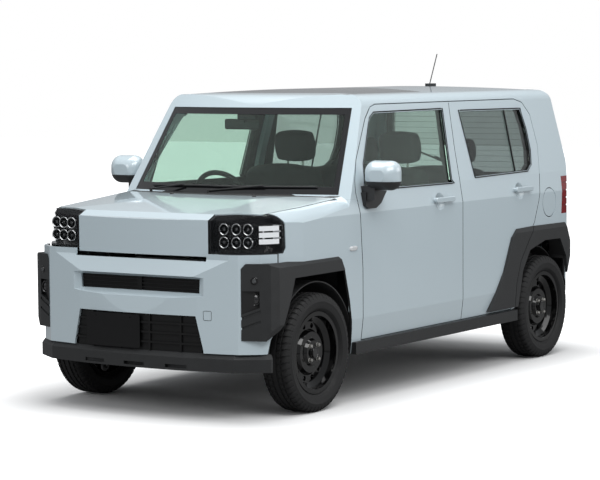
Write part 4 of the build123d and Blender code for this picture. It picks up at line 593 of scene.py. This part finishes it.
def slab(low, high, bevel=0.004, rounds=2):
    """A box with rounded edges between two corners."""
    solid = bmesh.new()
    bmesh.ops.create_cube(solid, size=1.0)
    low, high = Vector(low), Vector(high)
    for v in solid.verts:
        v.co = Vector([low[i] + (v.co[i] + 0.5) * (high[i] - low[i]) for i in range(3)])
    edges = solid.edges[:]
    bmesh.ops.bevel(solid, geom=edges, offset=bevel, segments=rounds, affect="EDGES", profile=0.5)
    verts = [v.co.copy() for v in solid.verts]
    faces = [tuple(v.index for v in f.verts) for f in solid.faces]
    solid.free()
    return verts, faces


def merged(*forms):
    """Several forms as one."""
    verts, faces = [], []
    for some_verts, some_faces in forms:
        start = len(verts)
        verts += list(some_verts)
        faces += [tuple(i + start for i in face) for face in some_faces]
    return verts, faces


def skin(*names):
    """A tree of CAD nodes' faces, to lay pieces on."""
    forms = []
    for name in names:
        mesh = nodes[name].data
        forms.append(([v.co.copy() for v in mesh.vertices], [tuple(p.vertices) for p in mesh.polygons]))
    return BVHTree.FromPolygons(*merged(*forms))


def touch(tree, start, way):
    """Where a ray from start meets a tree, and the face's direction there."""
    hit, normal, _, _ = tree.ray_cast(Vector(start), Vector(way).normalized())
    if hit is None:
        return None, None
    if normal.dot(Vector(way)) > 0:
        normal = -normal
    return hit, normal


def dense(line, gap):
    """The same closed outline with points at most about a gap apart."""
    out = []
    for start, end in zip(line, line[1:] + line[:1]):
        a, b = Vector(start), Vector(end)
        count = max(1, int((b - a).length / gap))
        out += [tuple(a + (b - a) * k / count) for k in range(count)]
    return out


def grown(line, by):
    """A closed outline in a plane moved outward by a distance."""
    area = sum(a[0] * b[1] - b[0] * a[1] for a, b in zip(line, line[1:] + line[:1]))
    sense = 1 if area > 0 else -1
    out = []
    total = len(line)
    for i in range(total):
        a, b, c = Vector(line[i - 1]), Vector(line[i]), Vector(line[(i + 1) % total])
        first = (b - a).normalized()
        second = (c - b).normalized()
        n1 = Vector((first.y, -first.x)) * sense
        n2 = Vector((second.y, -second.x)) * sense
        middle = (n1 + n2).normalized()
        out.append(tuple(b + middle * by / max(0.4, middle.dot(n1))))
    return out


def strip(name, tree, line, place, body, gap, radius, width, lift):
    """A flat dark strip laid on a panel along a closed outline; place turns a point into a ray."""
    points = []
    for a, b in dense(line, gap):
        hit, normal = touch(tree, *place(a, b))
        if hit is not None:
            points.append(hit + normal * lift)
    form = hose(points, radius, True, 6, width / radius)
    return piece(name, form, "dark", body)


def from_side(sign):
    """Turns a point (x, z) into a ray from the car's side inward."""
    return lambda x, z: ((x, sign * 1.2, z), (0, -sign, 0))


def from_ahead(y, z):
    """Turns a point (y, z) into a ray from ahead of the car to the rear."""
    return (2.2, y, z), (-1, 0, 0)


def from_behind(y, z):
    """Turns a point (y, z) into a ray from behind the car to the front."""
    return (-2.2, y, z), (1, 0, 0)


def rounds(rows, side, spots, way):
    """A piece of the car body for each row of turned forms, with one form at every spot."""
    for name, profile, count, key, slot in rows:
        forms = [turned(profile, spot, way, count) for spot in spots]
        piece(f"{name}_{side}", merged(*forms), key, "car_body")


def laid_oval(tree, centre, half, power, layers, count, place):
    """A squarish oval laid on a skin in layers of (lift, size); place turns a point into a ray."""
    loops = []
    for lift, size in layers:
        loop = []
        for i in range(count):
            turn = 2 * math.pi * i / count
            spot = []
            for k, wave in enumerate([math.cos(turn), math.sin(turn)]):
                spot.append(centre[k] + math.copysign(abs(wave) ** power[k], wave) * half[k] * size)
            hit, normal = touch(tree, *place(*spot))
            loop.append(hit + normal * lift)
        loops.append(loop)
    return rings(loops)


# Tyres with grooves round the tread and slots across its shoulders
TYRE_RADIUS = 0.2975
PITCHES = 56
PITCH_SHARES = [0.0, 0.26, 0.32, 0.94]
SLOT_SHARE = 0.3
SLOT_LEAN, LEAN_MIDDLE = 0.55, 0.03
GROOVES = [-0.043, -0.0155, 0.0155, 0.043]
GROOVE_STEPS = [(-1.25, 0), (-0.8, 1), (0.8, 1), (1.25, 0)]
GROOVE_HALF, GROOVE_DEPTH, SLOT_DEPTH = 0.0042, 0.0065, 0.0055
SHOULDER_START, SHOULDER_RADIUS = 0.0465, 0.272
RIB_START, RIB_END = 0.020, 0.039
SIDE_WALL = [
    # radius, distance from the middle plane
    (0.1903, 0.055), (0.2000, 0.0565), (0.2070, 0.058), (0.2100, 0.0615), (0.2140, 0.0665),
    (0.2175, 0.0720), (0.2200, 0.0725), (0.2225, 0.0765), (0.2320, 0.0795), (0.2420, 0.0815),
    (0.2500, 0.0822), (0.2520, 0.0832), (0.2560, 0.0832), (0.2580, 0.0820), (0.2680, 0.0800),
    (0.2770, 0.0765), (0.2850, 0.0725), (0.2910, 0.0690), (0.2950, 0.0620), (0.2970, 0.0560),
]


def tread_rows():
    """Rows of (radius, distance from the middle plane) across the tread between its shoulders."""
    rows = []
    for middle in GROOVES:
        for step, deep in GROOVE_STEPS:
            rows.append((TYRE_RADIUS - GROOVE_DEPTH * deep, middle + step * GROOVE_HALF))
    return rows


def slot_depth(radius, across):
    """The depth of a tread slot at a place of the tyre's section."""
    if abs(across) > SHOULDER_START and radius > SHOULDER_RADIUS:
        return SLOT_DEPTH
    if RIB_START < abs(across) < RIB_END and radius > TYRE_RADIUS - 0.001:
        return SLOT_DEPTH * 0.7
    return 0.0


def tyre_skin(name, axle_x, sign, body, cad):
    """A treaded tyre that stands for the plain CAD tyre."""
    inner_wall = [(radius, -across) for radius, across in SIDE_WALL]
    profile = inner_wall + tread_rows() + SIDE_WALL[::-1]
    loops = []
    for pitch in range(PITCHES):
        for share in PITCH_SHARES:
            loop = []
            for radius, across in profile:
                turn = 2 * math.pi * (pitch + share) / PITCHES
                turn += (abs(across) - LEAN_MIDDLE) * SLOT_LEAN
                if across < 0:
                    turn += math.pi / PITCHES
                reach = radius - (slot_depth(radius, across) if share < SLOT_SHARE else 0.0)
                x, z = axle_x + reach * math.cos(turn), AXLE_Z + reach * math.sin(turn)
                loop.append((x, sign * (WHEEL_Y + across), z))
            loops.append(loop)
    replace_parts(piece(name, ringed(loops), "tyre", body, 30), cad)


HUB_FACE, NUT_CIRCLE = 0.045, 0.050
NUT = [(0, 0.0125), (0.002, 0.0125), (0.004, 0.0105), (0.014, 0.0098), (0.017, 0.0075), (0.018, 0.0)]
CAP = [
    (0, 0.030), (0.004, 0.030), (0.006, 0.0285), (0.0135, 0.0275),
    (0.0155, 0.0255), (0.0160, 0.021), (0.0145, 0.0195), (0.0145, 0.0),
]
VALVE = [(0.158, 0.020), (0.153, 0.032), (0.146, 0.044)]


def wheel_trim(name, axle_x, sign, body):
    """Four nuts on their seats, the cap over the hub and a valve."""
    face_y = WHEEL_Y + HUB_FACE
    nuts = []
    for i in range(4):
        turn = math.pi / 4 + i * math.pi / 2
        x, z = axle_x + NUT_CIRCLE * math.cos(turn), AXLE_Z + NUT_CIRCLE * math.sin(turn)
        nuts.append(turned(NUT, (x, sign * (face_y - 0.002), z), (0, sign, 0), 6))
    piece(f"nuts_{name}", merged(*nuts), "steel", body)
    cap = turned(CAP, (axle_x, sign * (face_y - 0.001), AXLE_Z), (0, sign, 0), 40)
    piece(f"cap_{name}", cap, "piano", body)
    stem = [(axle_x + x, sign * (WHEEL_Y + y), AXLE_Z) for x, y in VALVE]
    piece(f"valve_{name}", hose(stem, 0.0045), "dark", body)


for end, axle_x in AXLES.items():
    for side, sign in SIDES.items():
        where = f"{end}_{side}"
        tyre_skin(f"tread_{where}", axle_x, sign, f"wheel_{where}", f"tyre_{where}")
        wheel_trim(where, axle_x, sign, f"wheel_{where}")

# Headlamps: a chromed bowl, a rim and a glass ball in every cell.
# Fog lamps in the bumper's recess, and the small round lamp over each.
# Profiles are rows of (distance along the axis, radius).
CELLS = [(0.470, 1.582), (0.532, 1.5665), (0.590, 1.552)]
CELL_ROWS = [0.868, 0.932]
FOG_PLACE = (1.576, 0.644, 0.600)
EYE_Y, EYE_Z = 0.652, 0.690
BOWL = [(-0.0015, 0.0222), (-0.008, 0.0210), (-0.015, 0.0170), (-0.020, 0.0110), (-0.0215, 0.0)]
CELL_RIM = [(-0.001, 0.0290), (0.0022, 0.0288), (0.0030, 0.0270), (0.0018, 0.0240), (-0.001, 0.0232)]
BALL = [(-0.020, 0.012), (-0.012, 0.0145), (-0.004, 0.0120), (0.0005, 0.0070), (0.0018, 0.0)]
FOG_GLASS = [(-0.008, 0.0235), (-0.002, 0.0232), (0.001, 0.0180), (0.0028, 0.0090), (0.0032, 0.0)]
FOG_RING = [(-0.001, 0.0315), (0.0035, 0.0312), (0.0045, 0.0295), (0.0030, 0.0250), (-0.001, 0.0242)]
FOG_BOWL = [(-0.0085, 0.0232), (-0.0095, 0.0150), (-0.0098, 0.0)]
EYE_RIM = [(-0.004, 0.0185), (0.0020, 0.0185), (0.0036, 0.0168), (0.0036, 0.0125)]
EYE_GLASS = [(0.0012, 0.0128), (0.0046, 0.0095), (0.0060, 0.0)]
HEADLAMP = [
    # name, profile, points round it, material, slot
    ("lamp_bowls", BOWL, 28, "chrome", "lamp_black"),
    ("lamp_rings", CELL_RIM, 32, "smoke", "lamp_black"),
    ("lamp_balls", BALL, 20, "clear", "lamp_clear"),
]
FOG_LAMP = [
    ("fog_glass", FOG_GLASS, 32, "display", "lamp_clear"),
    ("fog_ring", FOG_RING, 36, "piano", "black_gloss"),
    ("fog_bowl", FOG_BOWL, 32, "chrome", "lamp_black"),
]
EYE = [
    ("sensor_rim", EYE_RIM, 28, "piano", "black_gloss"),
    ("sensor_glass", EYE_GLASS, 24, "clear", "lamp_clear"),
]
clad_skin = skin("cladding")
for side, sign in SIDES.items():
    cells = [(face_x, sign * column, row) for column, face_x in CELLS for row in CELL_ROWS]
    rounds(HEADLAMP, side, cells, (1, 0, 0))
    x, y, z = FOG_PLACE
    rounds(FOG_LAMP, side, [(x, sign * y, z)], (1, 0, 0))
    hit, normal = touch(clad_skin, *from_ahead(sign * EYE_Y, EYE_Z))
    rounds(EYE, side, [hit], normal)

# Side markers on the fenders
MARKER_LAYERS = [(-0.002, 1.0), (0.003, 1.0), (0.0055, 0.86), (0.0065, 0.6)]
fender_skin = skin("fenders")
for side, sign in SIDES.items():
    form = laid_oval(
        fender_skin, (0.800, 0.792), (0.037, 0.0125), (0.7, 0.8), MARKER_LAYERS, 32, from_side(sign)
    )
    piece(f"side_marker_{side}", form, "marker", "car_body")

# Rubber edging round the side windows and the tailgate's
RUBBER = {"gap": 0.025, "radius": 0.0022, "width": 0.0055, "lift": 0.0012}
for side, sign in SIDES.items():
    for end, window in [("front", FRONT_WINDOW), ("rear", REAR_WINDOW)]:
        door = f"door_{end}_{side}"
        line = grown(window, 0.006)
        strip(f"window_rubber_{end}_{side}", skin(door), line, from_side(sign), door, **RUBBER)
line = grown(TAIL_WINDOW, 0.007)
strip("window_rubber_tail", skin("tailgate"), line, from_behind, "tailgate", **RUBBER)

# A thin upright divider near the rear end of each rear window, straight between two touched points
DIVIDER_X, DIVIDER_LOW_Z, DIVIDER_HIGH_Z = -1.010, 1.17, 1.39
DIVIDER_HEIGHTS = (1.102, 1.19, 1.28, 1.37, 1.453)
for side, sign in SIDES.items():
    tree = skin(f"glass_rear_{side}")
    low_hit, normal = touch(tree, *from_side(sign)(DIVIDER_X, DIVIDER_LOW_Z))
    high_hit, _ = touch(tree, *from_side(sign)(DIVIDER_X, DIVIDER_HIGH_Z))
    slope = (high_hit - low_hit) / (DIVIDER_HIGH_Z - DIVIDER_LOW_Z)
    points = [low_hit + slope * (z - DIVIDER_LOW_Z) + normal * 0.003 for z in DIVIDER_HEIGHTS]
    form = hose(points, 0.0055, False, 6)
    piece(f"window_divider_{side}", form, "dark", f"door_rear_{side}")


# Seats: soft pieces with side bolsters, pressed seams and a divided back
BLOCK_CUTS = 9
SEAM_DEPTH, SEAM_MOST = 0.009, 1.3
SEAM_ACROSS_WIDTH, SEAM_ALONG_WIDTH = 0.07, 0.06
BOLSTER_START = 0.62


def soft_block(size, turn, centre, seams_across=(), seams_along=(), bolster=0.0, round_share=0.32):
    """A stuffed block: pressed seams on its top face and raised edges beside them."""
    solid = bmesh.new()
    bmesh.ops.create_cube(solid, size=2.0)
    bmesh.ops.subdivide_edges(solid, edges=solid.edges[:], cuts=BLOCK_CUTS, use_grid_fill=True)
    half = [s / 2 for s in size]
    for v in solid.verts:
        x, y, z = v.co
        ball = Vector((
            x * math.sqrt(max(0, 1 - y * y / 2 - z * z / 2 + y * y * z * z / 3)),
            y * math.sqrt(max(0, 1 - z * z / 2 - x * x / 2 + z * z * x * x / 3)),
            z * math.sqrt(max(0, 1 - x * x / 2 - y * y / 2 + x * x * y * y / 3)),
        ))
        p = Vector((x, y, z)) * (1 - round_share) + ball * round_share
        press = 0.0
        for seam in seams_across:
            press += math.exp(-((x - seam) / SEAM_ACROSS_WIDTH) ** 2)
        for seam in seams_along:
            press += math.exp(-((abs(y) - seam) / SEAM_ALONG_WIDTH) ** 2)
        lift = bolster * max(0.0, abs(y) - BOLSTER_START) / (1 - BOLSTER_START)
        rise = max(0.0, z) * (lift - SEAM_DEPTH * min(press, SEAM_MOST))
        spot = Vector((p.x * half[0], p.y * half[1], p.z * half[2] + rise))
        v.co = turn @ spot + Vector(centre)
    verts = [v.co.copy() for v in solid.verts]
    faces = [tuple(v.index for v in f.verts) for f in solid.faces]
    solid.free()
    return verts, faces


def seat_piece(name, form):
    """A padded piece of seat cloth, rounded by one step of subdivision."""
    obj = piece(name, form, "cloth", "car_body", 180)
    smoother = obj.modifiers.new("round", "SUBSURF")
    smoother.levels = smoother.render_levels = 1
    return obj


def lean(degrees):
    """Turns a flat block's long way up and back by an angle from level."""
    return Matrix.Rotation(math.radians(-degrees), 3, "Y")


for side, sign in SIDES.items():
    y = 0.345 * sign
    base = soft_block((0.52, 0.49, 0.155), lean(3), (0.155, y, 0.530), (-0.35, 0.25), (0.60,), 0.030)
    back = soft_block(
        (0.60, 0.48, 0.135), lean(76.5), (-0.212, y, 0.870), (-0.45, 0.05, 0.5), (0.60,), 0.032
    )
    head = soft_block((0.180, 0.255, 0.105), lean(80), (-0.300, y, 1.258), round_share=0.5)
    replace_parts(seat_piece(f"seat_base_{side}", base), "front_seats")
    seat_piece(f"seat_back_{side}", back)
    seat_piece(f"seat_head_{side}", head)
    posts = []
    for post_y in (y - 0.05, y + 0.05):
        posts.append(hose([(-0.296, post_y, 1.10), (-0.304, post_y, 1.20)], 0.006))
    piece(f"seat_posts_{side}", merged(*posts), "steel", "car_body")
    stand = merged(
        slab((-0.16, y - 0.20, 0.300), (0.31, y - 0.16, 0.335)),
        slab((-0.16, y + 0.16, 0.300), (0.31, y + 0.20, 0.335)),
        slab((-0.14, y - 0.19, 0.330), (0.29, y + 0.19, 0.462), 0.015),
    )
    piece(f"seat_stand_{side}", stand, "trim", "car_body")
for part, low, high in [("left", 0.005, 0.585), ("right", -0.585, -0.005)]:
    middle, width = (low + high) / 2, high - low
    head_y = math.copysign(0.33, middle)
    base = soft_block((0.47, width, 0.150), lean(3), (-0.545, middle, 0.515), (0.1,), (0.62,), 0.014)
    back = soft_block(
        (0.575, width, 0.120), lean(76), (-0.905, middle, 0.855), (-0.4, 0.2), (0.62,), 0.016
    )
    head = soft_block((0.150, 0.235, 0.075), lean(84), (-0.985, head_y, 1.215), round_share=0.5)
    bench = seat_piece(f"bench_base_{part}", base)
    seat_piece(f"bench_back_{part}", back)
    seat_piece(f"bench_head_{part}", head)
    if part == "left":
        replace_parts(bench, "rear_seat")
stand = slab((-0.780, -0.560, 0.300), (-0.420, 0.560, 0.455), 0.02)
piece("bench_stand", stand, "trim", "car_body")

# Inside: instrument hood, centre screen, vents, rear-view mirror
hood = merged(
    slab((0.505, -0.500, 1.010), (0.640, -0.200, 1.036), 0.012, 3),
    slab((0.500, -0.490, 0.945), (0.540, -0.210, 1.030), 0.012, 3),
)
piece("instrument_hood", hood, "trim", "car_body")
face = slab((0.4965, -0.470, 0.955), (0.503, -0.230, 1.012), 0.003)
piece("instrument_face", face, "display", "car_body")
middle = slab((0.490, -0.125, 0.880), (0.550, 0.125, 1.000), 0.010, 3)
piece("centre_panel", middle, "display", "car_body")
VENT_ROW_Z, VENT_STEP_Z = 0.935, 0.014
vents = []
for y in (-0.580, 0.580, 0.240):
    for row in range(4):
        z = VENT_ROW_Z + row * VENT_STEP_Z
        vents.append(slab((0.496, y - 0.045, z), (0.530, y + 0.045, z + 0.005), 0.001, 1))
piece("vents", merged(*vents), "dark", "car_body")
mirror = merged(
    slab((0.575, -0.210, 1.378), (0.597, 0.010, 1.434), 0.010, 3),
    hose([(0.590, -0.080, 1.415), (0.603, -0.065, 1.432), (0.615, -0.050, 1.446)], 0.008),
    slab((0.588, -0.105, 1.428), (0.629, 0.015, 1.468), 0.008, 3),
)
piece("inner_mirror", mirror, "trim", "car_body")

# Door mirror glasses on the rear faces of the heads
GLASS_LAYERS = [(-0.001, 1.0), (0.0012, 1.0), (0.0018, 0.95)]
for side, sign in SIDES.items():
    form = laid_oval(
        skin(f"mirror_{side}"), (0.815, 1.160), (0.058, 0.044), (0.55, 0.55), GLASS_LAYERS, 36,
        lambda y, z: ((0.50, sign * y, z), (1, 0, 0)),
    )
    piece(f"mirror_glass_{side}", form, "mirror_glass", f"door_front_{side}")

# Washer nozzles on the bonnet
NOZZLE = [(-0.002, 0.011), (0.003, 0.0105), (0.007, 0.008), (0.009, 0.004), (0.0095, 0.0)]
bonnet_skin = skin("bonnet")
nozzles = []
for y in (-0.26, 0.26):
    hit, normal = touch(bonnet_skin, (1.010, y, 1.4), (0, 0, -1))
    nozzles.append(turned(NOZZLE, hit, normal, 20))
piece("washer_nozzles", merged(*nozzles), "clad", "bonnet")


# Tow cover outline in the front bumper: a square groove with rounded corners, drawn as a thin dark
# strip of painted shade
def square_line(low, high, radius=0.006):
    """A square outline with rounded corners between two corners."""
    (a0, b0), (a1, b1) = low, high
    corners = [
        (a1 - radius, b1 - radius, 0), (a0 + radius, b1 - radius, 90),
        (a0 + radius, b0 + radius, 180), (a1 - radius, b0 + radius, 270),
    ]
    out = []
    for a, b, start in corners:
        for step in range(5):
            turn = math.radians(start + step * 22.5)
            out.append((a + radius * math.cos(turn), b + radius * math.sin(turn)))
    return out


GROOVE = {"gap": 0.02, "radius": 0.0008, "width": 0.0012, "lift": 0.0003}
line = square_line((0.398, 0.492), (0.440, 0.538))
strip("tow_cover_line", skin("front_bumper"), line, from_ahead, "car_body", **GROOVE)

# Tailgate handle bar over the plate, a press pad below it, reflectors low on the rear bumper
tail_skin = skin("tailgate")
x = touch(tail_skin, *from_behind(0.0, 0.945))[0].x
bar = slab((x - 0.020, -0.190, 0.918), (x + 0.004, 0.190, 0.956), 0.008, 3)
piece("tailgate_handle", bar, "paint", "tailgate")
pad = slab((x - 0.016, -0.060, 0.909), (x - 0.002, 0.060, 0.920), 0.003)
piece("tailgate_switch", pad, "clad", "tailgate")
rear_skin = skin("rear_bumper")
for side, sign in SIDES.items():
    x = touch(rear_skin, *from_behind(sign * 0.560, 0.430))[0].x
    low_y, high_y = sorted([sign * 0.505, sign * 0.615])
    reflector = slab((x - 0.006, low_y, 0.418), (x + 0.004, high_y, 0.446), 0.004)
    piece(f"reflector_{side}", reflector, "red", "car_body")
x = touch(tail_skin, *from_behind(0.0, 1.485))[0].x
stop = slab((x - 0.006, -0.130, 1.474), (x + 0.006, 0.130, 1.494), 0.004)
piece("high_stop_lamp", stop, "red", "tailgate")

# Rear wiper: a turned foot, an arm and a blade on the tailgate glass
WIPER_FOOT = [(-0.002, 0.024), (0.010, 0.023), (0.018, 0.019), (0.021, 0.010), (0.0215, 0.0)]
WIPER_ARM = [(0.0, 1.045), (-0.07, 1.085), (-0.15, 1.120), (-0.215, 1.143)]
WIPER_BLADE = [(-0.075 - i * 0.041, 1.090 + i * 0.0145) for i in range(8)]
ARM_LIFT, BLADE_LIFT = 0.019, 0.0075
glass_skin = skin("glass_tailgate", "tailgate")
lines = []
for places, lift in [(WIPER_ARM, ARM_LIFT), (WIPER_BLADE, BLADE_LIFT)]:
    hits = [touch(glass_skin, *from_behind(*place)) for place in places]
    lines.append([hit + normal * lift for hit, normal in hits])
hit, normal = touch(glass_skin, *from_behind(*WIPER_ARM[0]))
wiper = merged(
    turned(WIPER_FOOT, hit, normal, 28),
    hose(lines[0], 0.0055, False, 8, 1.5, (0, 1, 0)),
    hose(lines[1], 0.0062, False, 6),
)
piece("rear_wiper", wiper, "clad", "tailgate")
